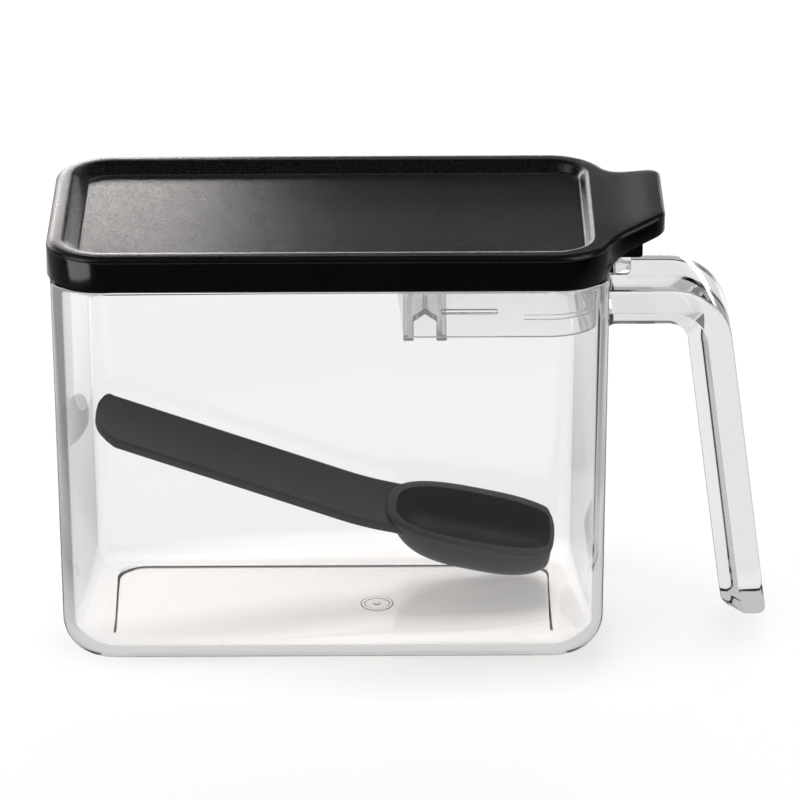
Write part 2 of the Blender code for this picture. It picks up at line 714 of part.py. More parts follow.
def make_frame(material):
    frame = object_from("hinge_frame", make_band(), material)
    boolean(frame, object_from("bead_shape", make_bead(), helper=True), "UNION")
    bm = bmesh.new()
    prism_across(bm, bar_profile(), frame_half_width() - BAND_WALL / 2)
    boolean(frame, object_from("bar_shape", bm, helper=True), "UNION")
    bm = bmesh.new()
    prism_across(bm, saddle_profile(), SADDLE_HALF_WIDTH)
    boolean(frame, object_from("saddle_shape", bm, helper=True), "UNION")
    for side, word in ((-1, "near"), (1, "far")):
        bm = bmesh.new()
        middle = side * (SADDLE_HALF_WIDTH - LUG_WIDTH / 2)
        prism_across(bm, lug_profile(), LUG_WIDTH / 2, middle)
        boolean(frame, object_from(f"lug_{word}", bm, helper=True), "UNION")
    bm = bmesh.new()
    eye = arc((PIVOT.x, PIVOT.z), PIN_RADIUS + PIN_CLEARANCE, 0, 360, PIN_STEPS)[:-1]
    prism_across(bm, eye, NOTCH_HALF_WIDTH)
    boolean(frame, object_from("eye_shape", bm, helper=True), "DIFFERENCE")
    bm = bmesh.new()
    slot = bar_middle() + BAR_WIDTH / 2 + SLOT_AFTER_BAR
    height = BAND_BOTTOM + SLOT_RISE
    side = frame_half_width()
    box(
        bm,
        (slot, -side - BAND_WALL, height),
        (slot + SLOT_LENGTH, 2 * BAND_WALL - side, height + SLOT_HEIGHT),
    )
    boolean(frame, object_from("slot_shape", bm, helper=True), "DIFFERENCE")
    return frame


# The spoon, in its own frame: X to the tip, Z up from the rim, the bowl's middle at zero


def bowl_ring(half_length, half_width, middle, height):
    points = []
    power = 2 / BOWL_SQUARENESS
    for i in range(BOWL_SIDES):
        angle = 2 * math.pi * i / BOWL_SIDES
        c, s = math.cos(angle), math.sin(angle)
        points.append(
            (
                middle + half_length * math.copysign(abs(c) ** power, c),
                half_width * math.copysign(abs(s) ** power, s),
                height,
            )
        )
    return points


def bowl_rings(inset, depth):
    """Rings of a boat shape from its rim down to its flat bottom."""
    rings = []
    for i in range(BOWL_STEPS + 1):
        angle = BOWL_LAST_ANGLE * i / BOWL_STEPS
        share = math.cos(angle) ** BOWL_SECTION_POWER
        rings.append(
            bowl_ring(
                (BOWL_LENGTH / 2 - inset) * share,
                (BOWL_WIDTH / 2 - inset) * share,
                BOWL_KEEL_SHIFT * math.sin(angle),
                -depth * math.sin(angle) / math.sin(BOWL_LAST_ANGLE),
            )
        )
    return rings


def make_bowl():
    """The bowl as a solid block, filled up to its rim."""
    outside = list(reversed(bowl_rings(BOWL_LIP, BOWL_DEPTH)))
    lip = [bowl_ring(BOWL_LENGTH / 2, BOWL_WIDTH / 2, 0.0, z) for z in (-BOWL_LIP_HEIGHT, 0.0)]
    bm = bmesh.new()
    loft(bm, outside[:-1] + lip)
    return bm


def make_cavity():
    """The room inside the bowl, carried on above its rim."""
    inside = list(reversed(bowl_rings(BOWL_LIP + BOWL_WALL, BOWL_DEPTH - BOWL_WALL)))
    half_length = BOWL_LENGTH / 2 - BOWL_LIP - BOWL_WALL
    half_width = BOWL_WIDTH / 2 - BOWL_LIP - BOWL_WALL
    bm = bmesh.new()
    loft(bm, inside + [bowl_ring(half_length, half_width, 0.0, BOWL_WALL)])
    return bm


def grip_height(run):
    """Height of the grip's top face, a distance back from the bowl's end."""
    slope = math.tan(GRIP_RISE)
    bend = min(max(run / GRIP_BEND_LENGTH, 0.0), 1.0)
    straight = max(run - GRIP_BEND_LENGTH, 0.0)
    return slope * (GRIP_BEND_LENGTH * bend**2 / 2 + straight) - GRIP_DROP


def grip_section(half, top):
    """Section of the grip: a slightly hollowed top, with its long edges cut back."""
    edge = min(GRIP_EDGE, half / 2)
    corners = [
        (half, -edge),
        (half - edge, 0.0),
        (0.0, -GRIP_CROWN),
        (edge - half, 0.0),
        (-half, -edge),
        (-half, edge - GRIP_THICKNESS),
        (edge - half, -GRIP_THICKNESS),
        (half - edge, -GRIP_THICKNESS),
        (half, edge - GRIP_THICKNESS),
    ]
    return [(across, top + up) for across, up in corners]


def spoon_turn():
    yaw = Matrix.Rotation(SPOON_YAW, 3, "Z")
    pitch = Matrix.Rotation(SPOON_PITCH, 3, "Y")
    return yaw @ pitch @ Matrix.Rotation(SPOON_ROLL, 3, "X")


def grip_length():
    """The grip reaches to the jar's far end, less a gap, from where the bowl lies."""
    wall = JAR_LENGTH / 2 - JAR_WALL - wall_inset(0.0) - GRIP_END_GAP
    reach = wall + JAR_LENGTH / 2 - SPOON_FROM_END
    along, _, up = spoon_turn()[0]
    slope = math.tan(GRIP_RISE)
    start = BOWL_LENGTH / 2 * along + (slope * GRIP_BEND_LENGTH / 2 + GRIP_DROP) * up
    return (reach - start) / (along - slope * up)


def make_grip():
    length = grip_length()
    straight = length - GRIP_END_ROUND
    runs = [-GRIP_SINK, 0.0]
    for start, stop in ((0.0, GRIP_BEND_LENGTH), (GRIP_BEND_LENGTH, straight)):
        runs += [start + (stop - start) * i / GRIP_STEPS for i in range(1, GRIP_STEPS + 1)]
    runs += [straight + GRIP_END_ROUND * math.sin(math.radians(a)) for a in GRIP_END_ANGLES]
    bm = bmesh.new()
    rings = []
    for run in runs:
        narrowing = rounding(GRIP_END_ROUND, max(length - run, 0.0))
        section = grip_section(GRIP_WIDTH / 2 - narrowing, grip_height(run))
        rings.append([(-BOWL_LENGTH / 2 - run, across, up) for across, up in section])
    loft(bm, rings)
    return bm


def spoon_depth():
    """How far the turned bowl reaches below its middle."""
    turn = spoon_turn()
    rings = bowl_rings(BOWL_LIP, BOWL_DEPTH)
    return -min((turn @ Vector(point)).z for ring in rings for point in ring)


def make_spoon(material):
    spoon = object_from("measuring_spoon", make_bowl(), material)
    grip = object_from("grip_shape", make_grip(), helper=True)
    cavity = object_from("cavity_shape", make_cavity(), helper=True)
    boolean(spoon, grip, "UNION")
    boolean(spoon, cavity, "DIFFERENCE")
    middle_x = JAR_LENGTH / 2 - SPOON_FROM_END
    middle_y = JAR_WIDTH / 2 - SPOON_FROM_SIDE
    height = JAR_FLOOR + SPOON_FLOOR_GAP + spoon_depth()
    place = Matrix.Translation((middle_x, middle_y, height)) @ spoon_turn().to_4x4()
    for obj in (spoon, grip, cavity):
        obj.matrix_world = place
    return spoon


def move_origin(obj, point):
    """Puts an object's origin at a point without moving its shape."""
    obj.data.transform(Matrix.Translation(-point))
    obj.location = point


def main():
    clear_scene()
    clear = plastic("clear_plastic", (0.93, 0.94, 0.93), 0.05, alpha=0.3, transmission=0.9)
    black = plastic("black_plastic", (0.015, 0.016, 0.016), 0.3)
    milky = plastic("frosted_plastic", (0.86, 0.86, 0.85), 0.35, alpha=0.6, transmission=0.6)
    dark = plastic("grey_plastic", (0.04, 0.044, 0.047), 0.5)
    jar = make_jar(clear)
    lid = make_lid(black)
    frame = make_frame(milky)
    spoon = make_spoon(dark)
    move_origin(lid, PIVOT)

    middle = bpy.data.objects.new("assembly", None)
    bpy.context.scene.collection.objects.link(middle)
    for obj in list(bpy.data.objects):
        if obj is not middle:
            obj.parent = middle
    middle.location.x = (LID_END - handle_end_x()) / 2
    bpy.context.view_layer.update()
    for obj in (jar, lid, frame, spoon):
        print(obj.name, "at", [round(v * 1000, 2) for v in obj.matrix_world.translation])
    pivot = middle.matrix_world @ PIVOT
    print("hinge line at x and z, mm", round(pivot.x * 1000, 3), round(pivot.z * 1000, 3))


main()
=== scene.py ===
# Spice jar with a hinged lid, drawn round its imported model.
# The pieces' sizes are in millimetres, counted from the middle of the jar's footprint; each
# finished mesh is turned into metres and moved to its place in the model at the end.

import math

import bmesh
import bpy
from mathutils import Matrix, Vector


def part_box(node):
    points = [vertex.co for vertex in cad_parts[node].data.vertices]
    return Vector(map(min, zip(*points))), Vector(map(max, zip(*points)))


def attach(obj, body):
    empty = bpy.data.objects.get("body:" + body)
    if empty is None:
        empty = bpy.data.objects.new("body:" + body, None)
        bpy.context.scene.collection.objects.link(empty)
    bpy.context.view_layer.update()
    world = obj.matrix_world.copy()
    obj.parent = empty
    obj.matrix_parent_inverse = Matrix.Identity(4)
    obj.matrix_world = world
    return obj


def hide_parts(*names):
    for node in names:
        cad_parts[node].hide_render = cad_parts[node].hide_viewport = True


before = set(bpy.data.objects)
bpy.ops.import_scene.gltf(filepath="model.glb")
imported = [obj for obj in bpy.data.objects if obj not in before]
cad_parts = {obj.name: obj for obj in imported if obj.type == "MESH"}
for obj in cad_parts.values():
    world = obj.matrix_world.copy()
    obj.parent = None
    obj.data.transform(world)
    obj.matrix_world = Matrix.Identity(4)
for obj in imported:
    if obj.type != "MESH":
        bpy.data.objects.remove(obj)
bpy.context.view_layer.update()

mm = 0.001
smoothAngle = 32  # degrees; a sharper edge than this stays sharp
weldDistance = 0.002
leastGap = 0.001  # points nearer than this are one
leastRadius = 0.3
scene = bpy.context.scene
scene.view_settings.view_transform = "Standard"


# Shared shape tools


def arcPoints(centre, radius, start, end, steps):
    # both ends included, angles in degrees
    points = []
    for i in range(steps + 1):
        angle = math.radians(start + (end - start) * i / steps)
        points.append((centre[0] + radius * math.cos(angle), centre[1] + radius * math.sin(angle)))
    return points


def roundedPolygon(corners, steps=4):
    # corners are (x, y, radius), in order; each is replaced with an arc
    points = []
    count = len(corners)
    for i, (x, y, radius) in enumerate(corners):
        here = Vector((x, y))
        if radius <= 0:
            points.append((x, y))
            continue
        toLast = (Vector(corners[i - 1][:2]) - here).normalized()
        toNext = (Vector(corners[(i + 1) % count][:2]) - here).normalized()
        half = toLast.angle(toNext) / 2
        centre = here + (toLast + toNext).normalized() * radius / math.sin(half)
        first = here + toLast * radius / math.tan(half) - centre
        turn = first.angle_signed(here + toNext * radius / math.tan(half) - centre)
        for j in range(steps + 1):
            angle = -turn * j / steps
            c, s = math.cos(angle), math.sin(angle)
            points.append((centre.x + first.x * c - first.y * s, centre.y + first.x * s + first.y * c))
    return points


def loft(bm, rings, closeEnds=True):
    made = [[bm.verts.new(point) for point in ring] for ring in rings]
    count = len(made[0])
    for low, high in zip(made, made[1:]):
        for i in range(count):
            j = (i + 1) % count
            bm.faces.new((low[i], low[j], high[j], high[i]))
    if closeEnds:
        bm.faces.new(list(reversed(made[0])))
        bm.faces.new(made[-1])
    return made


def linked(name, data):
    obj = bpy.data.objects.new(name, data)
    scene.collection.objects.link(obj)
    return obj


def objectFrom(name, bm):
    bmesh.ops.recalc_face_normals(bm, faces=bm.faces)
    mesh = bpy.data.meshes.new(name)
    bm.to_mesh(mesh)
    bm.free()
    return linked(name, mesh)


def lofted(name, rings):
    bm = bmesh.new()
    loft(bm, rings)
    return objectFrom(name, bm)


def plainMesh(obj):
    # applies the modifiers
    graph = bpy.context.evaluated_depsgraph_get()
    mesh = bpy.data.meshes.new_from_object(obj.evaluated_get(graph))
    obj.modifiers.clear()
    obj.data = mesh
    return obj


def bevelled(obj, width, segments=2, angle=60):
    modifier = obj.modifiers.new("edges", "BEVEL")
    modifier.width = width
    modifier.segments = segments
    modifier.limit_method = "ANGLE"
    modifier.angle_limit = math.radians(angle)
    modifier.use_clamp_overlap = True
    return plainMesh(obj)


def combine(obj, other, operation="UNION"):
    modifier = obj.modifiers.new("join", "BOOLEAN")
    modifier.operation = operation
    modifier.object = other
    modifier.solver = "EXACT"
    plainMesh(obj)
    bpy.data.objects.remove(other)
    return obj


def prismAcross(name, outline, halfWidth, middle=0.0):
    # an outline in x and z, carried across y
    sides = (middle - halfWidth, middle + halfWidth)
    return lofted(name, [[(x, y, z) for x, z in outline] for y in sides])


def boxAt(name, low, high):
    corners = [(low[0], low[2]), (high[0], low[2]), (high[0], high[2]), (low[0], high[2])]
    return prismAcross(name, corners, (high[1] - low[1]) / 2, (high[1] + low[1]) / 2)


def finishPiece(obj, name, body, cadNode, material):
    # cleans the mesh, smooths it, takes it to its place and ties it to the model
    bm = bmesh.new()
    bm.from_mesh(obj.data)
    bmesh.ops.remove_doubles(bm, verts=bm.verts, dist=weldDistance)
    bmesh.ops.dissolve_degenerate(bm, dist=weldDistance, edges=bm.edges)
    bmesh.ops.recalc_face_normals(bm, faces=bm.faces)
    if bm.calc_volume(signed=True) < 0:
        bmesh.ops.reverse_faces(bm, faces=bm.faces)
    bmesh.ops.triangulate(bm, faces=[f for f in bm.faces if len(f.verts) > 4])
    bm.to_mesh(obj.data)
    bm.free()
    obj.data.transform(Matrix.Translation((shift, 0, 0)) @ Matrix.Scale(mm, 4))
    obj.data.shade_smooth()
    obj.data.set_sharp_from_angle(angle=math.radians(smoothAngle))
    obj.data.materials.clear()
    obj.data.materials.append(material)
    obj.name = obj.data.name = name
    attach(obj, body)
    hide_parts(cadNode)
    print(name, len(obj.data.polygons), "faces")


# Node helpers


def wire(tree, socket, value):
    if isinstance(value, bpy.types.NodeSocket):
        tree.links.new(value, socket)
    else:
        socket.default_value = value


def calc(tree, operation, *values):
    made = tree.nodes.new("ShaderNodeMath")
    made.operation = operation
    for socket, value in zip(made.inputs, values):
        wire(tree, socket, value)
    return made.outputs[0]


def times(tree, first, second):
    return calc(tree, "MULTIPLY", first, second)


def plus(tree, first, second):
    return calc(tree, "ADD", first, second)


def minus(tree, first, second):
    return calc(tree, "SUBTRACT", first, second)


def most(tree, first, second):
    return calc(tree, "MAXIMUM", first, second)


def node(tree, kind, settings=None, **inputs):
    made = tree.nodes.new(kind)
    for key, value in (settings or {}).items():
        setattr(made, key, value)
    for key, value in inputs.items():
        wire(tree, made.inputs[key.replace("_", " ")], value)
    return made


def newTree(name, inputs):
    # a geometry tree whose inputs are (label, kind, value)
    tree = bpy.data.node_groups.new(name, "GeometryNodeTree")
    face = tree.interface
    face.new_socket("Geometry", in_out="INPUT", socket_type="NodeSocketGeometry")
    face.new_socket("Geometry", in_out="OUTPUT", socket_type="NodeSocketGeometry")
    for label, kind, value in inputs:
        socket = face.new_socket(label, in_out="INPUT", socket_type="NodeSocket" + kind)
        if value is not None:
            socket.default_value = value
    return tree, tree.nodes.new("NodeGroupInput").outputs


def endTree(tree, given, geometry):
    whole = node(tree, "GeometryNodeRealizeInstances", Geometry=geometry)
    painted = node(tree, "GeometryNodeSetMaterial", Geometry=whole.outputs[0], Material=given["Material"])
    tree.links.new(painted.outputs[0], tree.nodes.new("NodeGroupOutput").inputs[0])


def runTree(obj, tree, values):
    modifier = obj.modifiers.new(tree.name, "NODES")
    modifier.node_group = tree
    for item in tree.interface.items_tree:
        if item.item_type == "SOCKET" and item.in_out == "INPUT" and item.name in values:
            modifier[item.identifier] = values[item.name]
    return plainMesh(obj)


def positionAxes(tree):
    position = tree.nodes.new("GeometryNodeInputPosition").outputs[0]
    return node(tree, "ShaderNodeSeparateXYZ", Vector=position).outputs


def roundedShellTree():
    # Rounded rectangles, one for each point of a wall's section, skinned into a shell. A section
    # point's place is (half length, half width, height), and its corner radius is an attribute.
    tree, given = newTree("roundedShell", [
        ("Corner Steps", "Int", 16), ("Support", "Float", 0.5), ("Material", "Material", None)])
    section = given["Geometry"]
    rings = node(tree, "GeometryNodeAttributeDomainSize", Geometry=section).outputs["Point Count"]
    perCorner = plus(tree, given["Corner Steps"], 3)  # the arc, and a point beyond each end
    around = times(tree, perCorner, 4)
    grid = node(tree, "GeometryNodeMeshGrid", Size_X=1.0, Size_Y=1.0, Vertices_Y=rings,
                Vertices_X=plus(tree, around, 1))
    x, y, _ = positionAxes(tree)
    along = calc(tree, "ROUND", times(tree, plus(tree, x, 0.5), around))
    ring = calc(tree, "ROUND", times(tree, plus(tree, y, 0.5), minus(tree, rings, 1)))
    along = calc(tree, "MODULO", along, around)
    quarter = calc(tree, "FLOOR", calc(tree, "DIVIDE", along, perCorner))
    step = minus(tree, along, times(tree, quarter, perCorner))
    share = calc(tree, "DIVIDE", minus(tree, step, 1), given["Corner Steps"])
    share = calc(tree, "MINIMUM", most(tree, share, 0.0), 1.0)
    angle = times(tree, plus(tree, quarter, share), math.pi / 2)
    middle = times(tree, plus(tree, quarter, 0.5), math.pi / 2)
    before = calc(tree, "COMPARE", step, 0, 0.1)
    after = calc(tree, "COMPARE", step, minus(tree, perCorner, 1), 0.1)

    def sampled(kind, value):
        found = node(tree, "GeometryNodeSampleIndex", {"data_type": kind}, Geometry=section,
                     Value=value, Index=ring)
        return found.outputs[0]

    position = tree.nodes.new("GeometryNodeInputPosition").outputs[0]
    halfLength, halfWidth, height = node(tree, "ShaderNodeSeparateXYZ",
                                         Vector=sampled("FLOAT_VECTOR", position)).outputs
    named = node(tree, "GeometryNodeInputNamedAttribute", {"data_type": "FLOAT"}, Name="cornerRadius")
    radius = sampled("FLOAT", named.outputs[0])
    support = times(tree, given["Support"], calc(tree, "MINIMUM", radius, 1.0))
    beyond = times(tree, minus(tree, after, before), support)
    c, s = calc(tree, "COSINE", angle), calc(tree, "SINE", angle)

    def coordinate(half, side, outwards, onwards):
        inner = times(tree, calc(tree, "SIGN", side), minus(tree, half, radius))
        curved = plus(tree, inner, times(tree, radius, outwards))
        return plus(tree, curved, times(tree, beyond, onwards))

    point = node(tree, "ShaderNodeCombineXYZ", Z=height,
                 X=coordinate(halfLength, calc(tree, "COSINE", middle), c, times(tree, s, -1)),
                 Y=coordinate(halfWidth, calc(tree, "SINE", middle), s, c))
    skin = node(tree, "GeometryNodeSetPosition", Geometry=grid.outputs["Mesh"], Position=point.outputs[0])
    merged = node(tree, "GeometryNodeMergeByDistance", Geometry=skin.outputs[0], Distance=leastGap)
    endTree(tree, given, merged.outputs[0])
    return tree


def sweptBarTree():
    # A bar of rounded section, swept along the object's own line. Its two ends can lean along x.
    tree, given = newTree("sweptBar", [
        ("Wall", "Float", 1.0), ("Height", "Float", 1.0), ("Edge", "Float", 0.2),
        ("Edge Steps", "Int", 3), ("Lean", "Float", 0.0), ("Ends Before", "Float", -1000.0),
        ("Closed", "Bool", False), ("Material", "Material", None)])
    line = node(tree, "GeometryNodeMeshToCurve", Mesh=given["Geometry"])
    level = node(tree, "GeometryNodeSetCurveNormal", {"mode": "Z_UP"}, Curve=line.outputs[0])
    face = node(tree, "GeometryNodeCurvePrimitiveQuadrilateral", Width=given["Wall"],
                Height=given["Height"])
    section = node(tree, "GeometryNodeFilletCurve", {"mode": "POLY"}, Curve=face.outputs[0],
                   Count=given["Edge Steps"], Radius=given["Edge"])
    bar = node(tree, "GeometryNodeCurveToMesh", Curve=level.outputs[0], Profile_Curve=section.outputs[0],
               Fill_Caps=minus(tree, 1, given["Closed"]))
    x, _, z = positionAxes(tree)
    low = minus(tree, 0.5, calc(tree, "DIVIDE", z, given["Height"]))
    atEnd = calc(tree, "LESS_THAN", x, given["Ends Before"])
    move = node(tree, "ShaderNodeCombineXYZ", X=times(tree, atEnd, times(tree, given["Lean"], low)))
    leaning = node(tree, "GeometryNodeSetPosition", Geometry=bar.outputs[0], Offset=move.outputs[0])
    endTree(tree, given, leaning.outputs[0])
    return tree


roundedShell = roundedShellTree()
sweptBar = sweptBarTree()


def sweptAlong(name, line, closed, height, values):
    # the line lies level; the bar's middle is then raised to its height
    bm = bmesh.new()
    points = [bm.verts.new((x, y, 0.0)) for x, y in line]
    for first, second in zip(points, points[1:] + (points[:1] if closed else [])):
        bm.edges.new((first, second))
    obj = runTree(objectFrom(name, bm), sweptBar, {"Closed": closed, **values})
    obj.data.transform(Matrix.Translation((0, 0, height)))
    return obj


# Materials: a noise is given as its scale, detail and roughness, and a spread as its low and high


def newMaterial(name):
    material = bpy.data.materials.new(name)
    material.use_nodes = True
    tree = material.node_tree
    tree.nodes.clear()
    return material, tree, tree.nodes.new("ShaderNodeOutputMaterial")


def objectPlace(tree):
    return tree.nodes.new("ShaderNodeTexCoord").outputs["Object"]


def noiseAt(tree, place, scale, detail, roughness=0.5):
    found = node(tree, "ShaderNodeTexNoise", Vector=place, Scale=scale, Detail=detail, Roughness=roughness)
    return found.outputs[0]


def spread(tree, value, low, high, fromLow=0.3, fromHigh=0.7):
    mapped = node(tree, "ShaderNodeMapRange", Value=value, From_Min=fromLow, From_Max=fromHigh,
                  To_Min=low, To_Max=high)
    return mapped.outputs[0]


def blendColours(tree, factor, first, second):
    ramp = tree.nodes.new("ShaderNodeValToRGB")
    ramp.color_ramp.elements[0].color = (*first, 1)
    ramp.color_ramp.elements[1].color = (*second, 1)
    wire(tree, ramp.inputs[0], factor)
    return ramp.outputs[0]


def mixedValues(tree, share, first, second):
    mixed = node(tree, "ShaderNodeMix", {"data_type": "FLOAT"})
    for socket, value in zip((mixed.inputs[0], mixed.inputs[2], mixed.inputs[3]), (share, first, second)):
        tree.links.new(value, socket)
    return mixed.outputs[0]


def bumps(tree, height, distance, strength=1.0):
    return node(tree, "ShaderNodeBump", Height=height, Distance=distance, Strength=strength).outputs[0]


def mixedShaders(tree, share, first, second):
    mixed = tree.nodes.new("ShaderNodeMixShader")
    for socket, value in zip(mixed.inputs, (share, first, second)):
        tree.links.new(value, socket)
    return mixed.outputs[0]


def lampsPass(tree, shader, tint):
    # lamps and soft light go straight through, so that what stands behind the plastic is lit
    path = tree.nodes.new("ShaderNodeLightPath").outputs
    through = node(tree, "ShaderNodeBsdfTransparent", Color=(*tint, 1))
    either = most(tree, path["Is Shadow Ray"], path["Is Diffuse Ray"])
    return mixedShaders(tree, either, shader, through.outputs[0])


def clearPlastic():
    look = {"tint": (0.99, 0.985, 0.982), "ior": 1.52, "rubs": (70.0, 3.0), "specks": (900.0, 2.0),
            "rough": (0.0, 0.03), "roughFrom": (0.25, 0.45), "flow": (45.0, 1.0), "waves": 0.000004,
            "lampTint": (0.97, 0.965, 0.96), "depth": (0.53, 0.51, 0.5), "density": 20.0}
    material, tree, out = newMaterial("clearPlastic")
    place = objectPlace(tree)
    rubbed = times(tree, noiseAt(tree, place, *look["rubs"]), noiseAt(tree, place, *look["specks"]))
    shader = node(tree, "ShaderNodeBsdfPrincipled", Base_Color=(*look["tint"], 1), IOR=look["ior"],
                  Transmission_Weight=1.0,
                  Roughness=spread(tree, rubbed, *look["rough"], *look["roughFrom"]),
                  Normal=bumps(tree, noiseAt(tree, place, *look["flow"]), look["waves"]))
    tree.links.new(lampsPass(tree, shader.outputs[0], look["lampTint"]), out.inputs["Surface"])
    # thick parts, such as the handle, come out greyer
    depth = node(tree, "ShaderNodeVolumeAbsorption", Color=(*look["depth"], 1), Density=look["density"])
    tree.links.new(depth.outputs[0], out.inputs["Volume"])
    return material


def frostedPlastic():
    look = {"tint": (0.985, 0.985, 0.985), "ior": 1.5, "clear": 0.86, "grains": (1400.0, 2.0),
            "rough": (0.03, 0.09), "grain": 0.000004, "lampTint": (0.94, 0.94, 0.94)}
    material, tree, out = newMaterial("frostedPlastic")
    grain = noiseAt(tree, objectPlace(tree), *look["grains"])
    shader = node(tree, "ShaderNodeBsdfPrincipled", Base_Color=(*look["tint"], 1), IOR=look["ior"],
                  Transmission_Weight=look["clear"], Roughness=spread(tree, grain, *look["rough"]),
                  Normal=bumps(tree, grain, look["grain"]))
    tree.links.new(lampsPass(tree, shader.outputs[0], look["lampTint"]), out.inputs["Surface"])
    return material


def satinBlack():
    look = {"deep": (0.0026, 0.0027, 0.0027), "worn": (0.0042, 0.0043, 0.0042), "ior": 1.5,
            "clouds": (60.0, 3.0), "grains": (3600.0, 1.0), "grainShare": 0.6,
            "skirt": (0.12, 0.17), "top": (0.2, 0.25), "slope": (0.33, 0.38),
            "topFacing": (0.55, 0.8), "slopeFacing": (0.88, 0.95), "grain": 0.00003,
            "skirtGrain": 0.05, "specks": (2000.0, 2.0), "sparkle": (0.1, 0.9, -0.2, 0.2)}
    material, tree, out = newMaterial("satinBlack")
    coordinates = tree.nodes.new("ShaderNodeTexCoord").outputs
    place = coordinates["Object"]
    facing = node(tree, "ShaderNodeSeparateXYZ", Vector=coordinates["Normal"]).outputs[2]
    top = spread(tree, facing, 0.0, 1.0, *look["topFacing"])
    level = spread(tree, facing, 0.0, 1.0, *look["slopeFacing"])
    cloud, grain = noiseAt(tree, place, *look["clouds"]), noiseAt(tree, place, *look["grains"])
    mixed = plus(tree, times(tree, grain, look["grainShare"]), times(tree, cloud, 1 - look["grainShare"]))
    rough = mixedValues(tree, level, spread(tree, mixed, *look["slope"]), spread(tree, mixed, *look["top"]))
    rough = mixedValues(tree, top, spread(tree, mixed, *look["skirt"]), rough)
    # the top is grained and speckled; the skirt is smooth
    height = times(tree, grain, spread(tree, top, look["skirtGrain"], 1.0, 0.0, 1.0))
    speckle = times(tree, minus(tree, noiseAt(tree, place, *look["specks"]), 0.5), top)
    shader = node(tree, "ShaderNodeBsdfPrincipled", IOR=look["ior"], Roughness=rough,
                  Base_Color=blendColours(tree, cloud, look["deep"], look["worn"]),
                  Normal=bumps(tree, height, look["grain"]),
                  Specular_IOR_Level=spread(tree, speckle, *look["sparkle"]))
    tree.links.new(shader.outputs[0], out.inputs["Surface"])
    return material


def spoonGrey():
    look = {"deep": (0.02, 0.022, 0.024), "pale": (0.027, 0.03, 0.032), "ior": 1.48,
            "clouds": (90.0, 4.0), "grains": (2200.0, 3.0, 0.6), "rough": (0.36, 0.48),
            "grain": 0.00003, "grainStrength": 0.6}
    material, tree, out = newMaterial("spoonGrey")
    place = objectPlace(tree)
    cloud, grain = noiseAt(tree, place, *look["clouds"]), noiseAt(tree, place, *look["grains"])
    shader = node(tree, "ShaderNodeBsdfPrincipled", IOR=look["ior"],
                  Base_Color=blendColours(tree, cloud, look["deep"], look["pale"]),
                  Roughness=spread(tree, grain, *look["rough"]),
                  Normal=bumps(tree, grain, look["grain"], look["grainStrength"]))
    tree.links.new(shader.outputs[0], out.inputs["Surface"])
    return material


# The jar: a drafted tank with a thinner neck, a shallow panel under its base, and a strap handle

jarSizes = {
    "length": 128.7, "width": 66.9, "height": 101.0, "corner": 13.0, "innerCorner": 11.4,
    "wall": 2.6, "floor": 2.6, "draft": 0.47, "foot": 8.8, "innerFoot": 6.2,
    "rimRound": 0.55, "shoulderRound": 0.9, "shoulderInner": 0.4,
    "recessLength": 105.6, "recessWidth": 44.4, "recessCorner": 7.5, "recessDepth": 0.5,
    "recessSlope": 0.8, "recessRound": 0.3, "notchHalfWidth": 10.3, "notchDepth": 4.0,
    "cornerSteps": 20, "footSteps": 14, "edgeSteps": 5,
    # hold: how far a ring that keeps the shading even stands from a round
    "hold": 0.7, "rimHold": 0.5, "recessHold": 1.2, "cornerHold": 0.6,
    "gateMiddle": (10.3, 0.3), "gateRadius": 3.4, "gateWidth": 1.1, "gateHeight": 0.8,
    "gateEdge": 0.3, "gateSteps": 48, "gatePip": 1.0, "gatePipDrop": 0.35,
    "gatePipShares": (0.25, 0.6, 0.85, 1.0), "gatePipSteps": 32,
}
handleSizes = {
    "width": 23.2, "top": 86.7, "thickness": 5.7, "ribWidth": 14.2, "ribDepth": 4.5,
    "reach": 14.6, "innerBend": 4.5, "lean": 7.6, "footGap": 3.5, "strapEndRound": 2.2,
    "ribEndRound": 3.4, "rootFillet": 2.0, "edge": 0.9, "shoulderEdge": 0.5, "ribEdge": 0.7,
    "rootSink": 1.2, "bendSteps": 28, "filletSteps": 8, "bendHold": 3.0, "footHold": 1.0,
}
lidSizes = {
    "proud": 0.65, "wall": 2.0, "skirtWall": 1.5, "skirtHeight": 8.2, "shoulderGap": 0.6,
    "skirtClearance": 0.5, "seatGap": 0.3, "edge": 1.05, "edgeIn": 1.7, "lowerEdge": 0.25,
    "crown": 0.3, "crownIn": 2.7, "crownShares": (0.2, 0.4, 0.6, 0.8, 0.95), "skirtHold": 0.5,
    "crestRise": 0.66, "drop": 2.35, "overRound": 0.62, "footRound": 0.24,
    "panelHold": 1.06,  # as a share of the way from the land to the panel
    # the border's land and the sunken panel: (left end, right end, half width, corner radius)
    "land": (-62.5, 61.4, 31.4, 10.95), "panel": (-57.0, 58.3, 26.1, 5.6),
    "tabReach": 12.2, "tabTipHalf": 15.2, "tabTaper": 29.0, "tabTipRound": 5.2, "tabFlare": 12.0,
    "tabLift": 3.5, "tabLiftStart": 4.0, "tabBend": 0.5, "tabRim": 5.2, "tabRimRun": 6.5,
    "cornerSteps": 20, "flareSteps": 14, "tipSteps": 8, "edgeSteps": 7, "slopeSteps": 30, "underStep": 3,
}
hingeSizes = {
    "pivotReach": 4.95, "pivotRise": 1.5, "pinRadius": 1.5, "pinClearance": 0.15, "pinEdge": 0.2,
    "legThickness": 2.2, "legWidth": 5.8, "legDrop": 2.0, "legRound": 0.8, "legEdge": 0.25,
    "play": 0.3, "pinSteps": 40,
}

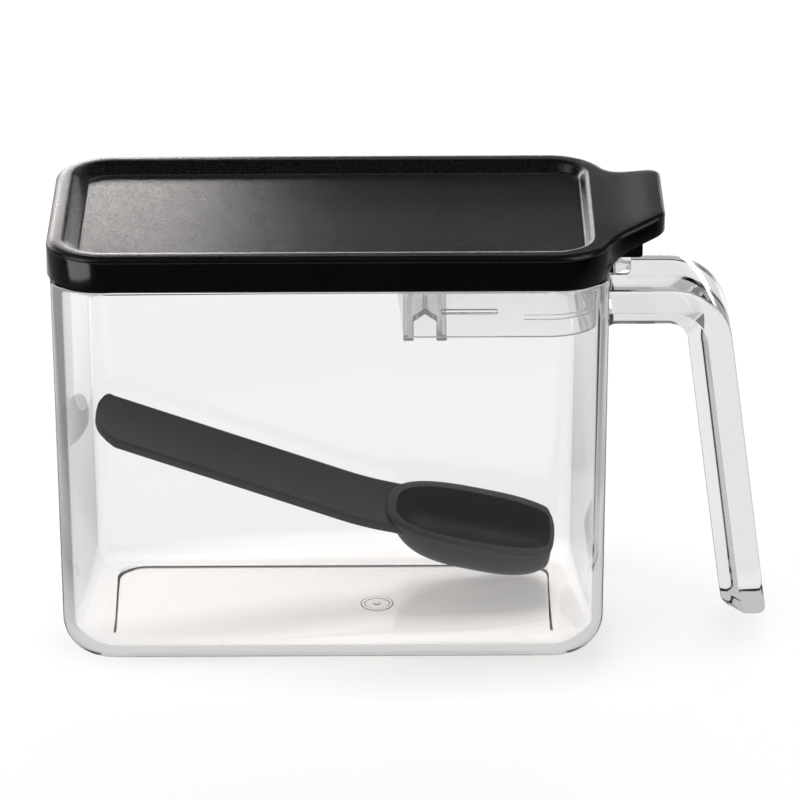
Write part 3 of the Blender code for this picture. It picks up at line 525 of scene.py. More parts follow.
jar, handle, lid, hinge = jarSizes, handleSizes, lidSizes, hingeSizes
lidLength = jar["length"] + 2 * lid["proud"]
lidWidth = jar["width"] + 2 * lid["proud"]
lidCorner = jar["corner"] + lid["proud"]
lidEnd = lidLength / 2
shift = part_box("lid")[0].x + lidEnd * mm
lidCrest = jar["height"] + lid["seatGap"] + lid["wall"] + lid["crestRise"]
skirtLow = lidCrest - lid["skirtHeight"]
shoulder = skirtLow - lid["shoulderGap"]
pivot = Vector((jar["length"] / 2 + hinge["pivotReach"], 0.0, skirtLow + hinge["pivotRise"]))
neckInset = lid["skirtWall"] + lid["skirtClearance"] - lid["proud"]
notchLow = jar["height"] - jar["notchDepth"]
saddleHalf = jar["notchHalfWidth"] - hinge["play"]


def wallInset(height):
    return math.tan(math.radians(jar["draft"])) * max(shoulder - height, 0.0)


def tankSection():
    # (half length, half width, corner radius, height) of each ring, from the base's middle,
    # up the outside, over the rim and down to the floor's middle
    halfLength, halfWidth = jar["length"] / 2, jar["width"] / 2

    def ring(inset, height, radius):
        return (halfLength - inset, halfWidth - inset, max(radius, leastRadius), height)

    def outer(inset, height):
        return ring(inset, height, jar["corner"] - inset)

    def inner(inset, height):
        return ring(inset, height, jar["innerCorner"] + jar["wall"] - inset)

    def recess(inwards, height):
        return (jar["recessLength"] / 2 - inwards, jar["recessWidth"] / 2 - inwards,
                jar["recessCorner"] - inwards, height)

    def arc(make, inset, height, radius, start, end, steps=jar["edgeSteps"]):
        return [make(x, z) for x, z in arcPoints((inset, height), radius, start, end, steps)]

    def footArc(make, inset, base, radius):
        return arc(make, inset + radius, base + radius, radius, 270, 180, jar["footSteps"])

    hold, r, depth, slope = jar["hold"], jar["recessRound"], jar["recessDepth"], jar["recessSlope"]
    partIn, partDown = 0.3 * r, 0.35 * r  # a point half way round the recess's edges
    rings = [(0.0, 0.0, 0.0, depth), recess(slope + jar["recessHold"], depth), recess(slope + r, depth)]
    rings += [recess(slope - partIn, depth - partDown), recess(partIn, partDown), recess(-r, 0.0)]
    foot = jar["foot"]
    rings.append(outer(wallInset(foot) + foot + hold, 0.0))
    rings += footArc(outer, wallInset(foot), 0.0, foot)
    rings.append(outer(wallInset(foot + hold), foot + hold))
    r, q = jar["shoulderRound"], jar["shoulderInner"]
    rings.append(outer(wallInset(shoulder - r - hold), shoulder - r - hold))
    rings += arc(outer, r, shoulder - r, r, 180, 90)
    rings += arc(outer, neckInset - q, shoulder + q, q, 270, 360)
    rings.append(outer(neckInset, shoulder + q + hold))
    r, wall, floor, foot = jar["rimRound"], jar["wall"], jar["floor"], jar["floor"] + jar["innerFoot"]
    rings.append(outer(neckInset, jar["height"] - r - jar["rimHold"]))
    rings += arc(outer, neckInset + r, jar["height"] - r, r, 180, 90)
    # the inside wall is drafted only below the neck
    rings += arc(inner, wall - r, jar["height"] - r, r, 90, 0)
    rings.append(inner(wall, shoulder))
    rings.append(inner(wall + wallInset(foot + hold), foot + hold))
    rings += reversed(footArc(inner, wall + wallInset(foot), floor, jar["innerFoot"]))
    rings.append(inner(wall + wallInset(foot) + jar["innerFoot"] + hold, floor))
    rings.append((0.0, 0.0, 0.0, floor))
    return rings


def makeTank():
    section = tankSection()
    mesh = bpy.data.meshes.new("tank")
    mesh.from_pydata([(a, b, z) for a, b, _, z in section],
                     [(i, i + 1) for i in range(len(section) - 1)], [])
    radius = mesh.attributes.new("cornerRadius", "FLOAT", "POINT")
    radius.data.foreach_set("value", [r for _, _, r, _ in section])
    return runTree(linked("tank", mesh), roundedShell,
                   {"Corner Steps": jar["cornerSteps"], "Support": jar["cornerHold"]})


def handleSection():
    # half widths against depths below the strap's outer face, once round
    half, rib = handle["width"] / 2, handle["ribWidth"] / 2
    full = handle["thickness"] + handle["ribDepth"]
    side = [(0.0, half, handle["edge"]), (handle["thickness"], half, handle["shoulderEdge"]),
            (full, rib, handle["ribEdge"])]
    corners = side + [(depth, -across, r) for depth, across, r in reversed(side)]
    return roundedPolygon(corners)


def rounding(radius, distance):
    short = max(radius - distance, 0.0)
    return radius - math.sqrt(max(radius**2 - short**2, 0.0))


def handleRing(outer, inner, near=0.0, far=0.0, narrow=0.0):
    half = handle["width"] / 2
    depth = (outer - inner).length
    inwards = (inner - outer) / depth
    share = (depth - near - far) / (handle["thickness"] + handle["ribDepth"])
    ring = []
    for below, across in handleSection():
        point = outer + inwards * (near + below * share)
        ring.append((point.x, across * (half - narrow) / half, point.y))
    return ring


def handleBend():
    radius = handle["innerBend"] + handle["thickness"] + handle["ribDepth"]
    return Vector((jar["length"] / 2 + handle["reach"], handle["top"] - radius)), radius


def makeHandle():
    centre, bend = handleBend()
    depth = handle["thickness"] + handle["ribDepth"]
    lean = math.radians(handle["lean"])
    wall = jar["length"] / 2 - wallInset(handle["top"])
    steps = handle["filletSteps"]
    pairs = []
    for i in range(steps + 1):
        angle = math.radians(90) * i / steps
        x = wall + handle["rootFillet"] * (1 - math.cos(angle))
        fillet = handle["rootFillet"] * (1 - math.sin(angle))
        pairs.append((Vector((x, handle["top"])), Vector((x, handle["top"] - depth - fillet))))
    root = Vector((-handle["rootSink"], 0.0))
    pairs.insert(0, (pairs[0][0] + root, pairs[0][1] + root))
    for i in range(handle["bendSteps"] + 1):
        angle = math.radians(90) + (lean - math.radians(90)) * i / handle["bendSteps"]
        ray = Vector((math.cos(angle), math.sin(angle)))
        pairs.append((centre + bend * ray, centre + (bend - depth) * ray))
    rings = [handleRing(outer, inner) for outer, inner in pairs]
    top, across = centre + bend * ray, depth / math.cos(lean)

    def legRing(height, near=0.0, far=0.0, narrow=0.0):
        outer = Vector((top.x + (top.y - height) * math.tan(lean), height))
        return handleRing(outer, outer - Vector((across, 0.0)), near, far, narrow)

    rings.append(legRing(top.y - handle["bendHold"]))
    rings.append(legRing(handle["footGap"] + handle["ribEndRound"] + handle["footHold"]))
    for i in range(steps + 1):
        rise = handle["ribEndRound"] * (1 - math.sin(math.radians(90) * i / steps))
        rings.append(legRing(handle["footGap"] + rise, rounding(handle["strapEndRound"], rise),
                             rounding(handle["ribEndRound"], rise), rounding(handle["edge"], rise)))
    return lofted("handle", rings)


def makeGateMark():
    # a ring and a pip under the base, left by the mould
    x, y = jar["gateMiddle"]
    sink, drop = jar["recessDepth"], jar["gatePipDrop"]
    ring = arcPoints((x, y), jar["gateRadius"], 0, 360, jar["gateSteps"])[:-1]
    mark = sweptAlong("gateRing", ring, True, sink, {
        "Wall": jar["gateWidth"], "Height": jar["gateHeight"], "Edge": jar["gateEdge"]})
    rings = []
    for share in jar["gatePipShares"]:
        height = sink - drop * math.sqrt(1 - share**2) if share < 1 else sink + drop
        circle = arcPoints((x, y), jar["gatePip"] * share, 0, 360, jar["gatePipSteps"])[:-1]
        rings.append([(a, b, height) for a, b in circle])
    return combine(mark, lofted("gatePip", rings))


def makeJar():
    body = makeTank()
    combine(body, makeHandle())
    combine(body, makeGateMark())
    inside = jar["length"] / 2 - 2 * jar["wall"]
    half = jar["notchHalfWidth"]
    combine(body, boxAt("notch", (inside, -half, notchLow), (lidEnd + jar["wall"], half, lidCrest)),
            "DIFFERENCE")
    finishPiece(body, "clearJar", "jar", "jar", clearPlastic())


# The lid: skirt, crowned border with an eased inner slope, sunken panel, and a thumb tab


def tabFrame():
    corner = Vector((lidEnd - lidCorner, lidWidth / 2 - lidCorner))
    taper = math.radians(lid["tabTaper"])
    along = Vector((math.cos(taper), -math.sin(taper)))
    outwards = Vector((math.sin(taper), math.cos(taper)))
    tip = Vector((lidEnd + lid["tabReach"], lid["tabTipHalf"]))
    base = tip + lid["tabFlare"] * outwards - corner
    half = base.dot(along)
    back = -half + math.sqrt(half**2 - base.length_squared + (lidCorner + lid["tabFlare"]) ** 2)
    flare = tip + lid["tabFlare"] * outwards + back * along
    toFlare = flare - corner
    return corner, flare, outwards, tip, math.degrees(math.atan2(toFlare.y, toFlare.x))


def lidHalf(inset):
    corner, flare, outwards, tip, meet = tabFrame()
    side = math.degrees(math.atan2(outwards.y, outwards.x))
    back = lid["tabTipRound"] * math.tan(math.radians(side) / 2)
    centre = (tip.x - lid["tabTipRound"], tip.y - back)
    steps = lid["tipSteps"]
    points = [(lidEnd + lid["tabReach"] - inset, centre[1] * i / steps) for i in range(steps)]
    points += arcPoints(centre, max(lid["tabTipRound"] - inset, leastRadius), 0, side, steps)
    points += arcPoints(flare, lid["tabFlare"] + inset, side + 180, meet + 180, lid["flareSteps"])
    points += arcPoints(corner, lidCorner - inset, meet, 90, lid["cornerSteps"])[1:]
    points += arcPoints((-corner.x, corner.y), lidCorner - inset, 90, 180, lid["cornerSteps"])
    return points


def mirrored(half):
    # a point on the middle line isn't doubled
    return half + [(x, -y) for x, y in reversed(half) if y > leastGap]


def lidOutline(inset):
    return mirrored(lidHalf(inset))


def innerOutline(left, right, side, radius):
    # a rounded rectangle with a point for each point of the lid's outline
    corner, _, _, _, meet = tabFrame()
    outer = lidHalf(0.0)
    tabCount = len(outer) - 2 * lid["cornerSteps"] - 1
    meetY = side - radius + radius * math.sin(math.radians(meet))
    widest = outer[tabCount - 1][1]
    points = []
    for _, y in outer[:tabCount]:
        ownY = y * meetY / widest
        beyond = max(ownY - side + radius, 0.0)
        points.append((right - radius + math.sqrt(radius**2 - beyond**2), ownY))
    steps = lid["cornerSteps"]
    points += arcPoints((right - radius, side - radius), radius, meet, 90, steps)[1:]
    points += arcPoints((left + radius, side - radius), radius, 90, 180, steps)
    return mirrored(points)


def slopeFall(share):
    # how much of its drop the border's inner slope has made: eased over, straight, eased in
    over, foot = lid["overRound"], lid["footRound"]
    slope = 1 / (1 - over / 2 - foot / 2)

    def eased(run, length):
        return slope * (run / 2 - length / (2 * math.pi) * math.sin(math.pi * run / length))

    if share < over:
        return eased(share, over)
    if share > 1 - foot:
        return 1 - eased(1 - share, foot)
    return slope * (share - over / 2)


def between(first, second, share):
    return [tuple(a + (b - a) * share for a, b in zip(one, other)) for one, other in zip(first, second)]


def tabLift(x):
    # a short bend, then straight
    run = max((x - lidEnd + lid["tabLiftStart"]) / (lid["tabReach"] + lid["tabLiftStart"]), 0.0)
    bend = lid["tabBend"]
    risen = run**2 / (2 * bend) if run < bend else run - bend / 2
    return lid["tabLift"] * risen / (1 - bend / 2)


def skirtBottom(x):
    rim = lidCrest + tabLift(x) - lid["tabRim"]
    run = min(max((x - (lidEnd - lid["skirtWall"])) / lid["tabRimRun"], 0.0), 1.0)
    return skirtLow + (rim - skirtLow) * math.sqrt(1 - (1 - run) ** 2)


def raised(outline, height):
    return [(x, y, height(x)) for x, y in outline]


def makeShell():
    def top(fall):
        return lambda x: lidCrest - fall + tabLift(x)

    def low(rise):
        return lambda x: skirtBottom(x) + rise

    edge, lower, drop, steps = lid["edge"], lid["lowerEdge"], lid["drop"], lid["slopeSteps"]
    land, panel = innerOutline(*lid["land"]), innerOutline(*lid["panel"])
    part = lower * 0.3  # half way round the lower edge
    rings = [raised(lidOutline(lower), low(0.0)), raised(lidOutline(part), low(part)),
             raised(lidOutline(0.0), low(lower)),
             raised(lidOutline(0.0), top(edge + lid["crown"] + lid["skirtHold"]))]

    def crowned(inset):
        return lid["crown"] * max(1 - inset / lid["crownIn"], 0.0) ** 2

    for i in range(lid["edgeSteps"] + 1):
        angle = math.radians(90) * i / lid["edgeSteps"]
        inset = lid["edgeIn"] * (1 - math.cos(angle))
        rings.append(raised(lidOutline(inset), top(edge * (1 - math.sin(angle)) + crowned(inset))))
    crest = lidOutline(lid["edgeIn"])
    for share in lid["crownShares"]:
        inset = lid["edgeIn"] + share * (lid["crownIn"] - lid["edgeIn"])
        rings.append(raised(between(crest, land, share), top(crowned(inset))))
    for i in range(steps + 1):
        share = i / steps
        rings.append(raised(between(land, panel, share), top(drop * slopeFall(share))))
    rings.append(raised(between(land, panel, lid["panelHold"]), top(drop)))
    under = [raised(between(land, panel, i / steps), top(drop * slopeFall(i / steps) + lid["wall"]))
             for i in range(steps, -1, -lid["underStep"])]
    inner = lidOutline(lid["skirtWall"])
    under += [raised(inner, top(lid["wall"])), raised(inner, low(lower)),
              raised(lidOutline(lid["skirtWall"] - lower), low(0.0))]
    bm = bmesh.new()
    made = loft(bm, rings, False)
    below = loft(bm, under, False)
    count = len(made[0])
    for i in range(count):
        j = (i + 1) % count
        bm.faces.new((below[-1][i], below[-1][j], made[0][j], made[0][i]))
    bm.faces.new(made[-1])
    bm.faces.new(below[0])
    return objectFrom("lidShell", bm)


def legProfile():
    half, r = hinge["legWidth"] / 2, hinge["legRound"]
    bottom = pivot.z - hinge["legDrop"]
    top = lidCrest + tabLift(pivot.x) - lid["wall"] / 2
    return roundedPolygon([(pivot.x + half, bottom, r), (pivot.x + half, top, 0),
                           (pivot.x - half, top, 0), (pivot.x - half, bottom, r)], 5)


def makeLid():
    body = makeShell()
    flare = tabFrame()[1]
    flank = flare.y - math.sqrt(lid["tabFlare"] ** 2 - (lidEnd - flare.x) ** 2)
    legInner = saddleHalf + hinge["play"]
    for side in (-1, 1):
        ends = sorted((side * legInner, side * (flank - lid["skirtWall"] / 2)))
        combine(body, boxAt("closingWall", (lidEnd - lid["skirtWall"], ends[0], skirtLow),
                            (lidEnd, ends[1], lidCrest - lid["wall"] / 2)))
        middle = side * (legInner + hinge["legThickness"] / 2)
        leg = prismAcross("leg", legProfile(), hinge["legThickness"] / 2, middle)
        combine(body, bevelled(leg, hinge["legEdge"]))
        start, stop = legInner + hinge["legThickness"] / 2, saddleHalf - frameSizes["lugWidth"]
        circle = arcPoints((pivot.x, pivot.z), hinge["pinRadius"], 0, 360, hinge["pinSteps"])[:-1]
        pin = prismAcross("pin", circle, (start - stop) / 2, side * (start + stop) / 2)
        combine(body, bevelled(pin, hinge["pinEdge"]))
    finishPiece(body, "blackLid", "lid", "lid", satinBlack())


# The hinge frame: a U-shaped band in the jar's mouth, the levelling bar, and the hinge's lugs

frameSizes = {
    "wall": 1.6, "belowRim": 2.5, "height": 15.3, "fit": 0.3, "reach": 46.7, "endSlant": 2.0,
    "endHold": 1.0, "leanBefore": 0.5, "edge": 0.3, "cornerSteps": 20,
    "barSetback": 1.8, "footWidth": 10.0, "footThickness": 1.4, "barWidth": 7.6, "barWall": 1.2,
    "eaves": 5.3, "ridge": 8.0, "belowBand": 1.0, "footEdge": 0.3, "footRound": 0.4,
    "eavesRound": 0.6, "ridgeRound": 0.5, "innerEavesRound": 0.5, "innerRidgeRound": 0.4,
    "beadHeight": 1.1, "beadDepth": 0.7, "beadSink": 0.4, "beadEdge": 0.25, "beadRun": 17.0,
    "beadRise": 4.0, "slotLength": 13.2, "slotHeight": 1.0, "slotRise": 5.75, "slotAfterBar": -0.3,
    "slotRound": 0.5, "saddleThickness": 2.0, "saddleRound": 0.5, "saddleFillet": 0.2,
    "lugPlate": 1.5, "lugWidth": 2.5, "lugHeight": 9.4, "lugDepth": 5.0, "lugBoss": 2.7,
    "lugRound": 1.4, "plateRound": 0.3, "lugEdge": 0.2, "lugRoundSteps": 8, "bossSteps": 20,
    "bossEnd": 130.0,
}
band = frameSizes
bandTop = jar["height"] - band["belowRim"]
bandLow = bandTop - band["height"]
frameLength = jar["length"] / 2 - jar["wall"] - wallInset(bandLow) - band["fit"]
frameWidth = jar["width"] / 2 - jar["wall"] - wallInset(bandLow) - band["fit"]
bandStart = frameLength + band["fit"] - band["reach"]


def bandPath(inset, start):
    length, width = frameLength - inset, frameWidth - inset
    radius = jar["innerCorner"] - inset
    straight = start + band["endSlant"] + band["endHold"]
    points = [(start, -width), (straight, -width)]
    points += arcPoints((length - radius, radius - width), radius, -90, 0, band["cornerSteps"])
    points += arcPoints((length - radius, width - radius), radius, 0, 90, band["cornerSteps"])
    return points + [(straight, width), (start, width)]


def makeBand():
    path = bandPath(band["wall"] / 2, bandStart)
    # the free ends lean: longer at the top than at the bottom
    made = sweptAlong("band", path, False, (bandTop + bandLow) / 2, {
        "Wall": band["wall"], "Height": band["height"], "Edge": band["edge"], "Lean": band["endSlant"],
        "Ends Before": bandStart + band["leanBefore"]})
    # a bead inside the band, sunk a little into it
    depth, sink = band["beadDepth"], band["beadSink"]
    path = bandPath(band["wall"] + (depth - sink) / 2, frameLength - band["beadRun"])
    bead = sweptAlong("bead", path, False, bandLow + band["beadRise"] + band["beadHeight"] / 2, {
        "Wall": depth + sink, "Height": band["beadHeight"], "Edge": band["beadEdge"]})
    return combine(made, bead)


def barProfile():
    x = bandStart + band["barSetback"] + band["footWidth"] / 2
    foot, half, wall = band["footWidth"] / 2, band["barWidth"] / 2, band["barWall"]
    thick, ridge, eaves = band["footThickness"], band["ridge"], band["eaves"]
    base = bandLow - band["belowBand"]
    slope = (ridge - eaves) / half
    innerRidge = ridge - wall * math.sqrt(1 + slope**2)
    innerEaves = innerRidge - slope * (half - wall)
    edge, turn = band["footEdge"], band["footRound"]
    right = [(foot, 0.0, edge), (foot, thick, turn), (half, thick, turn), (half, eaves, band["eavesRound"])]
    inside = [(half - wall, 0.0, edge), (half - wall, innerEaves, band["innerEavesRound"])]
    outline = right + [(0.0, ridge, band["ridgeRound"])] + [(-a, b, r) for a, b, r in reversed(right)]
    outline += [(-a, b, r) for a, b, r in inside]
    outline += [(0.0, innerRidge, band["innerRidgeRound"])] + inside[::-1]
    return [(x + a, base + b) for a, b in roundedPolygon(outline)], x


def makeFrame():
    body = makeBand()
    outline, barMiddle = barProfile()
    combine(body, prismAcross("bar", outline, frameWidth - band["wall"] / 2))
    low, play = notchLow + hinge["play"], hinge["play"]
    high = low + band["saddleThickness"]
    plate = jar["length"] / 2 + play
    bottom = high - band["lugHeight"]
    inner = frameLength - band["wall"] / 2
    behind, r = plate + band["lugPlate"], band["plateRound"]
    saddle = roundedPolygon([
        (inner, low, 0), (plate, low, band["saddleFillet"]), (plate, bottom, r), (behind, bottom, r),
        (behind, high, band["saddleRound"]), (inner, high, 0)], 3)
    combine(body, bevelled(prismAcross("saddle", saddle, saddleHalf), band["lugEdge"]))
    tip, r = plate + band["lugDepth"], band["lugRound"]
    reach = math.degrees(math.acos(min(max((tip - pivot.x) / band["lugBoss"], -1.0), 1.0)))
    cheek = [(plate, high), (plate, bottom)]
    cheek += arcPoints((tip - r, bottom + r), r, -90, 0, band["lugRoundSteps"])
    cheek += arcPoints((pivot.x, pivot.z), band["lugBoss"], -reach, band["bossEnd"], band["bossSteps"])
    for side in (-1, 1):
        middle = side * (saddleHalf - band["lugWidth"] / 2)
        lug = prismAcross("lug", cheek, band["lugWidth"] / 2, middle)
        combine(body, bevelled(lug, band["lugEdge"]))
    bore = hinge["pinRadius"] + hinge["pinClearance"]
    eye = arcPoints((pivot.x, pivot.z), bore, 0, 360, hinge["pinSteps"])[:-1]
    combine(body, prismAcross("eye", eye, jar["notchHalfWidth"]), "DIFFERENCE")
    # a slot goes through the near side of the band
    start, r = barMiddle + band["barWidth"] / 2 + band["slotAfterBar"], band["slotRound"]
    base = bandLow + band["slotRise"]
    stop, top = start + band["slotLength"], base + band["slotHeight"]
    slot = roundedPolygon([(start, base, r), (stop, base, r), (stop, top, r), (start, top, r)])
    slot = prismAcross("slot", slot, 1.5 * band["wall"], band["wall"] / 2 - frameWidth)
    combine(body, slot, "DIFFERENCE")
    finishPiece(body, "hingeFrame", "hinge_frame", "hinge_frame", frostedPlastic())


# The measuring spoon, in its own frame: x to the tip, z up from the rim, the bowl's middle at 0

spoonSizes = {
    "length": 43.4, "width": 20.8, "depth": 12.4, "wall": 1.4, "squareness": 2.8,
    "sectionPower": 0.42, "keelShift": 1.7, "keelTurn": 84.0, "lip": 0.7, "lipHeight": 1.4,
    "lipRound": 0.35,
    "gripWidth": 15.3, "gripThickness": 2.6, "gripDrop": 0.7, "gripSink": 5.0, "gripRise": 9.9,
    "gripBend": 11.0, "gripEndRound": 6.5, "gripHollow": 0.4, "gripEdge": 0.6, "gripEndGap": 1.1,
    "pitch": 10.5, "roll": 20.4, "yaw": -3.7, "fromEnd": 30.05, "fromSide": 17.75,
    "floorGap": 0.3, "sides": 96, "bowlSteps": 26, "gripSteps": 10, "hollowSteps": 6,
    "endAngles": (8, 16, 24, 32, 40, 48, 56, 64, 71, 77, 82, 86, 88.5),
}
spoon = spoonSizes


def bowlRing(halfLength, halfWidth, middle, height):
    points = []
    power = 2 / spoon["squareness"]
    for i in range(spoon["sides"]):
        angle = 2 * math.pi * i / spoon["sides"]
        c, s = math.cos(angle), math.sin(angle)
        points.append((middle + halfLength * math.copysign(abs(c) ** power, c),
                       halfWidth * math.copysign(abs(s) ** power, s), height))
    return points


def bowlRings(inset, depth):
    last = math.radians(spoon["keelTurn"])
    rings = []
    for i in range(spoon["bowlSteps"] + 1):
        angle = last * i / spoon["bowlSteps"]
        share = math.cos(angle) ** spoon["sectionPower"]
        rings.append(bowlRing((spoon["length"] / 2 - inset) * share, (spoon["width"] / 2 - inset) * share,
                              spoon["keelShift"] * math.sin(angle),
                              -depth * math.sin(angle) / math.sin(last)))
    return rings


def makeBowl():
    rings = bowlRings(spoon["lip"], spoon["depth"])[::-1][:-1]
    halfLength, halfWidth, r = spoon["length"] / 2, spoon["width"] / 2, spoon["lipRound"]
    low, part = -spoon["lipHeight"], r * 0.3  # part is half way round an edge
    lip = [(r, low), (part, low + part), (0.0, r + low), (0.0, -r), (part, -part), (r, 0.0)]
    rings += [bowlRing(halfLength - inset, halfWidth - inset, 0.0, z) for inset, z in lip]
    return lofted("bowl", rings)


def makeCavity():
    inset = spoon["lip"] + spoon["wall"]
    rings = bowlRings(inset, spoon["depth"] - spoon["wall"])[::-1]
    halfLength, halfWidth = spoon["length"] / 2 - inset, spoon["width"] / 2 - inset
    rings += [bowlRing(halfLength, halfWidth, 0.0, spoon["wall"])]
    return lofted("cavity", rings)


def gripHeight(run):
    slope = math.tan(math.radians(spoon["gripRise"]))
    bend = min(max(run / spoon["gripBend"], 0.0), 1.0)
    straight = max(run - spoon["gripBend"], 0.0)
    return slope * (spoon["gripBend"] * bend**2 / 2 + straight) - spoon["gripDrop"]


def spoonTurn():
    yaw = Matrix.Rotation(math.radians(spoon["yaw"]), 3, "Z")
    pitch = Matrix.Rotation(math.radians(spoon["pitch"]), 3, "Y")
    return yaw @ pitch @ Matrix.Rotation(math.radians(spoon["roll"]), 3, "X")


def gripLength():
    # from where the bowl lies to the jar's far wall, less a gap
    wall = jar["length"] / 2 - jar["wall"] - wallInset(0.0) - spoon["gripEndGap"]
    reach = wall + jar["length"] / 2 - spoon["fromEnd"]
    along, _, up = spoonTurn()[0]
    slope = math.tan(math.radians(spoon["gripRise"]))
    start = spoon["length"] / 2 * along + (slope * spoon["gripBend"] / 2 + spoon["gripDrop"]) * up
    return (reach - start) / (along - slope * up)


def gripSection(half, top):
    edge = min(spoon["gripEdge"], half / 2)
    hollow, thick, steps = spoon["gripHollow"], spoon["gripThickness"], spoon["hollowSteps"]
    # a slightly hollowed top face
    upper = [(half * i / steps, -hollow * (1 - (i / steps) ** 2)) for i in range(steps - 1, -steps, -1)]
    outline = [(half, 0.0, edge)] + [(a, b, 0) for a, b in upper] + [(-half, 0.0, edge)]
    outline += [(-half, -thick, edge), (half, -thick, edge)]
    return [(across, top + up) for across, up in roundedPolygon(outline)]


def makeGrip():
    length = gripLength()
    straight = length - spoon["gripEndRound"]
    runs = [-spoon["gripSink"], 0.0]
    for start, stop in ((0.0, spoon["gripBend"]), (spoon["gripBend"], straight)):
        runs += [start + (stop - start) * i / spoon["gripSteps"] for i in range(1, spoon["gripSteps"] + 1)]
    runs += [straight + spoon["gripEndRound"] * math.sin(math.radians(a)) for a in spoon["endAngles"]]
    rings = []
    for run in runs:
        narrowing = rounding(spoon["gripEndRound"], max(length - run, 0.0))
        section = gripSection(spoon["gripWidth"] / 2 - narrowing, gripHeight(run))
        rings.append([(-spoon["length"] / 2 - run, across, up) for across, up in section])
    return lofted("grip", rings)


def makeSpoon():
    body = makeBowl()
    combine(body, makeGrip())
    combine(body, makeCavity(), "DIFFERENCE")
    turn = spoonTurn()
    lowest = min((turn @ Vector(p)).z for ring in bowlRings(spoon["lip"], spoon["depth"]) for p in ring)
    place = (jar["length"] / 2 - spoon["fromEnd"], jar["width"] / 2 - spoon["fromSide"],
             jar["floor"] + spoon["floorGap"] - lowest)
    body.data.transform(Matrix.Translation(place) @ turn.to_4x4())
    finishPiece(body, "greySpoon", "spoon", "measuring_spoon", spoonGrey())


makeJar()
makeLid()
makeFrame()
makeSpoon()


# Floor, surround, lamps and camera, in metres

stageSizes = {
    "floorRadius": 8.0, "floorAlbedo": 0.6, "farAlbedo": 0.08, "farGlow": 0.93,
    "nearAlbedo": 0.88, "nearGlow": 0.14, "nearSize": (0.066, 0.034, 1.0), "nearEdge": (1.05, 1.5),
    "frontLevel": 0.03, "frontEdge": (-0.12, 0.25), "sideLevel": 0.35, "sideEdge": (0.14, 0.22),
    "boardMiddle": (0.015, 0.0, 0.0), "boardSize": (0.13, 0.1, 1.0), "boardEdge": (0.8, 1.3),
    "boardLevel": 0.73, "clearFloor": 0.3, "clearUpper": 0.7,
    "horizon": 1.1, "horizonRise": (0.0, 0.27), "upper": 0.035,
}
lampSettings = [
    # name, place, aimed at, size, radiance, shows in reflections
    ("backLeft", (-0.292, 0.50, 0.258), (-0.05, 0.0, 0.1), (0.5, 0.07), 9.4, True),
    ("backLow", (0.0, 0.65, 0.14), (0.0, 0.0, 0.1), (1.3, 0.06), 5.0, True),
    ("backHigh", (0.1, 1.1, 0.88), (0.0, 0.0, 0.1), (1.2, 0.22), 0.9, True),
    ("backKey", (0.1, 0.7, 0.68), (0.0, 0.0, 0.0), (0.4, 0.3), 20.0, False),
    ("overLeft", (-1.0, -0.4, 1.15), (0.0, 0.0, 0.05), (1.0, 1.1), 1.6, True),
    ("overRight", (1.0, -0.5, 1.15), (0.0, 0.0, 0.05), (0.9, 1.1), 1.5, True),
    ("frontLeft", (-0.187, -0.118, 0.055), (-0.065, -0.033, 0.055), (0.125, 0.105), 2.9, True),
]
lampColours = {"backLeft": (1.0, 0.955, 0.935), "frontLeft": (0.96, 0.97, 1.0)}
cameraSettings = {
    "target": (-0.00281, 0.0, 0.0545), "distance": 1.244, "pitch": 23.0, "yaw": -0.08, "roll": -0.21,
    "focalPixels": 5266.0, "imagePixels": 800, "sensor": 36.0, "clip": (0.05, 50.0),
}


def emission(tree, strength):
    return node(tree, "ShaderNodeEmission", Color=(1, 1, 1, 1), Strength=strength).outputs[0]


def matt(tree, albedo):
    return node(tree, "ShaderNodeBsdfDiffuse", Color=(albedo, albedo, albedo, 1)).outputs[0]


def whiteFloor(tree, albedo, glow):
    both = tree.nodes.new("ShaderNodeAddShader")
    wire(tree, both.inputs[0], matt(tree, albedo))
    wire(tree, both.inputs[1], emission(tree, glow))
    return both.outputs[0]


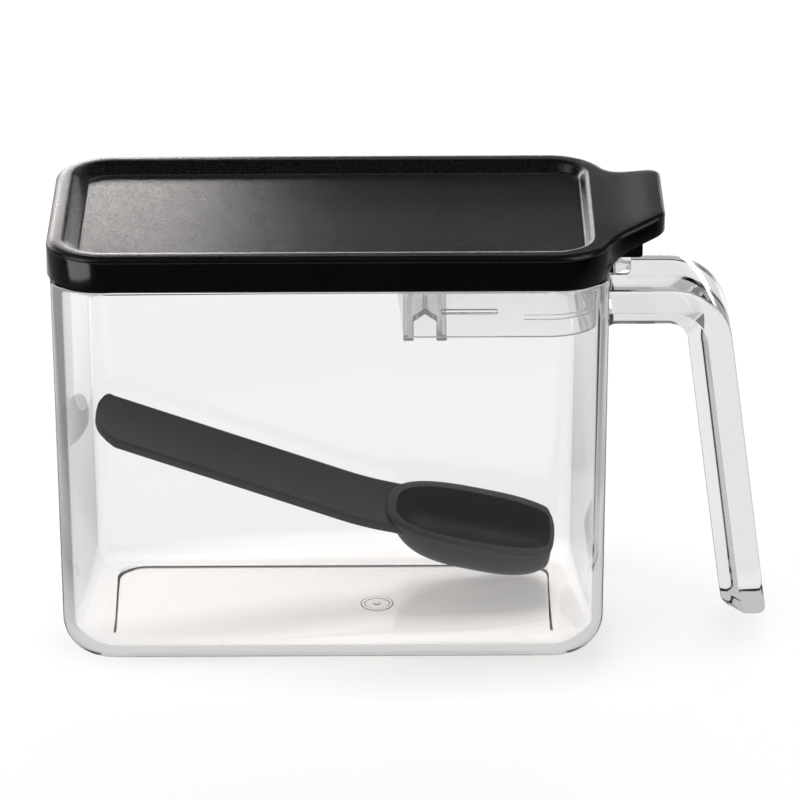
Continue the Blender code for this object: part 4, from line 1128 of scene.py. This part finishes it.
def makeFloor():
    s = stageSizes
    bm = bmesh.new()
    bmesh.ops.create_circle(bm, cap_ends=True, segments=96, radius=s["floorRadius"])
    floor = objectFrom("studioFloor", bm)
    material, tree, out = newMaterial("studioFloorWhite")
    path = tree.nodes.new("ShaderNodeLightPath").outputs
    seen = most(tree, path["Is Camera Ray"], path["Is Glossy Ray"])
    seen = most(tree, seen, path["Is Transmission Ray"])
    place = objectPlace(tree)
    x, y, _ = node(tree, "ShaderNodeSeparateXYZ", Vector=place).outputs

    def awayFrom(middle, size):
        inside = node(tree, "ShaderNodeMapping", {"vector_type": "TEXTURE"}, Vector=place,
                      Location=middle, Scale=size)
        made = node(tree, "ShaderNodeVectorMath", {"operation": "LENGTH"}, Vector=inside.outputs[0])
        return made.outputs["Value"]

    # in reflections it darkens to the front and sides, beyond a pale board
    back = spread(tree, y, s["frontLevel"], 1.0, *s["frontEdge"])
    side = spread(tree, calc(tree, "ABSOLUTE", x), 1.0, s["sideLevel"], *s["sideEdge"])
    board = spread(tree, awayFrom(s["boardMiddle"], s["boardSize"]), s["boardLevel"], 0.0, *s["boardEdge"])
    # what comes round through clear plastic stays pale
    inClear = calc(tree, "GREATER_THAN", path["Transmission Depth"], 0.5)
    board = times(tree, inClear, most(tree, board, s["clearFloor"]))
    reflected = emission(tree, most(tree, times(tree, back, side), board))
    # straight on it is white, and under the jar it takes the shadows
    beyond = spread(tree, awayFrom((0, 0, 0), s["nearSize"]), 0.0, 1.0, *s["nearEdge"])
    straight = mixedShaders(tree, beyond, whiteFloor(tree, s["nearAlbedo"], s["nearGlow"]),
                            whiteFloor(tree, s["farAlbedo"], s["farGlow"]))
    direct = calc(tree, "LESS_THAN", path["Glossy Depth"], 0.5)
    inView = mixedShaders(tree, direct, reflected, straight)
    mixed = mixedShaders(tree, seen, matt(tree, s["floorAlbedo"]), inView)
    tree.links.new(mixed, out.inputs["Surface"])
    floor.data.materials.append(material)


def makeSurround():
    world = bpy.data.worlds.new("studio")
    scene.world = world
    world.use_nodes = True
    tree = world.node_tree
    tree.nodes.clear()
    direction = tree.nodes.new("ShaderNodeTexCoord").outputs["Generated"]
    up = node(tree, "ShaderNodeSeparateXYZ", Vector=direction).outputs[2]
    level = spread(tree, up, stageSizes["horizon"], stageSizes["upper"], *stageSizes["horizonRise"])
    # seen straight on, or through clear plastic, the backdrop is white; what is thrown back
    # inside clear plastic sees it paler than the black lid does
    path = tree.nodes.new("ShaderNodeLightPath").outputs
    direct = calc(tree, "LESS_THAN", path["Glossy Depth"], 0.5)
    inClear = calc(tree, "GREATER_THAN", path["Transmission Depth"], 0.5)
    seen = most(tree, path["Is Camera Ray"], times(tree, path["Is Transmission Ray"], direct))
    seen = most(tree, seen, times(tree, inClear, stageSizes["clearUpper"]))
    sky = node(tree, "ShaderNodeBackground", Color=(1, 1, 1, 1), Strength=most(tree, level, seen))
    tree.links.new(sky.outputs[0], tree.nodes.new("ShaderNodeOutputWorld").inputs["Surface"])


def makeLamps():
    for name, place, target, size, radiance, shows in lampSettings:
        lamp = bpy.data.lights.new(name, "AREA")
        lamp.color = lampColours.get(name, (1.0, 1.0, 1.0))
        lamp.shape = "RECTANGLE"
        lamp.size, lamp.size_y = size
        lamp.energy = radiance * math.pi * size[0] * size[1]  # an area lamp's watts at this radiance
        obj = linked(name, lamp)
        obj.location = place
        obj.rotation_euler = (Vector(target) - Vector(place)).to_track_quat("-Z", "Y").to_euler()
        obj.visible_camera = obj.visible_transmission = False
        obj.visible_glossy = shows


def makeCamera():
    s = cameraSettings
    pitch, yaw, roll = (math.radians(s[key]) for key in ("pitch", "yaw", "roll"))
    back = Vector((math.sin(yaw) * math.cos(pitch), -math.cos(yaw) * math.cos(pitch), math.sin(pitch)))
    right = Vector((math.cos(yaw), math.sin(yaw), 0.0))
    up = back.cross(right)
    right, up = (math.cos(roll) * right + math.sin(roll) * up, math.cos(roll) * up - math.sin(roll) * right)
    lens = bpy.data.cameras.new("camera")
    lens.sensor_width = s["sensor"]
    lens.lens = s["sensor"] * s["focalPixels"] / s["imagePixels"]
    lens.clip_start, lens.clip_end = s["clip"]
    camera = linked("camera", lens)
    turn = Matrix((right, up, back)).transposed().to_4x4()
    camera.matrix_world = Matrix.Translation(Vector(s["target"]) + back * s["distance"]) @ turn
    scene.camera = camera


makeFloor()
makeSurround()
makeLamps()
makeCamera()
print("stage, lamps and camera are in place")
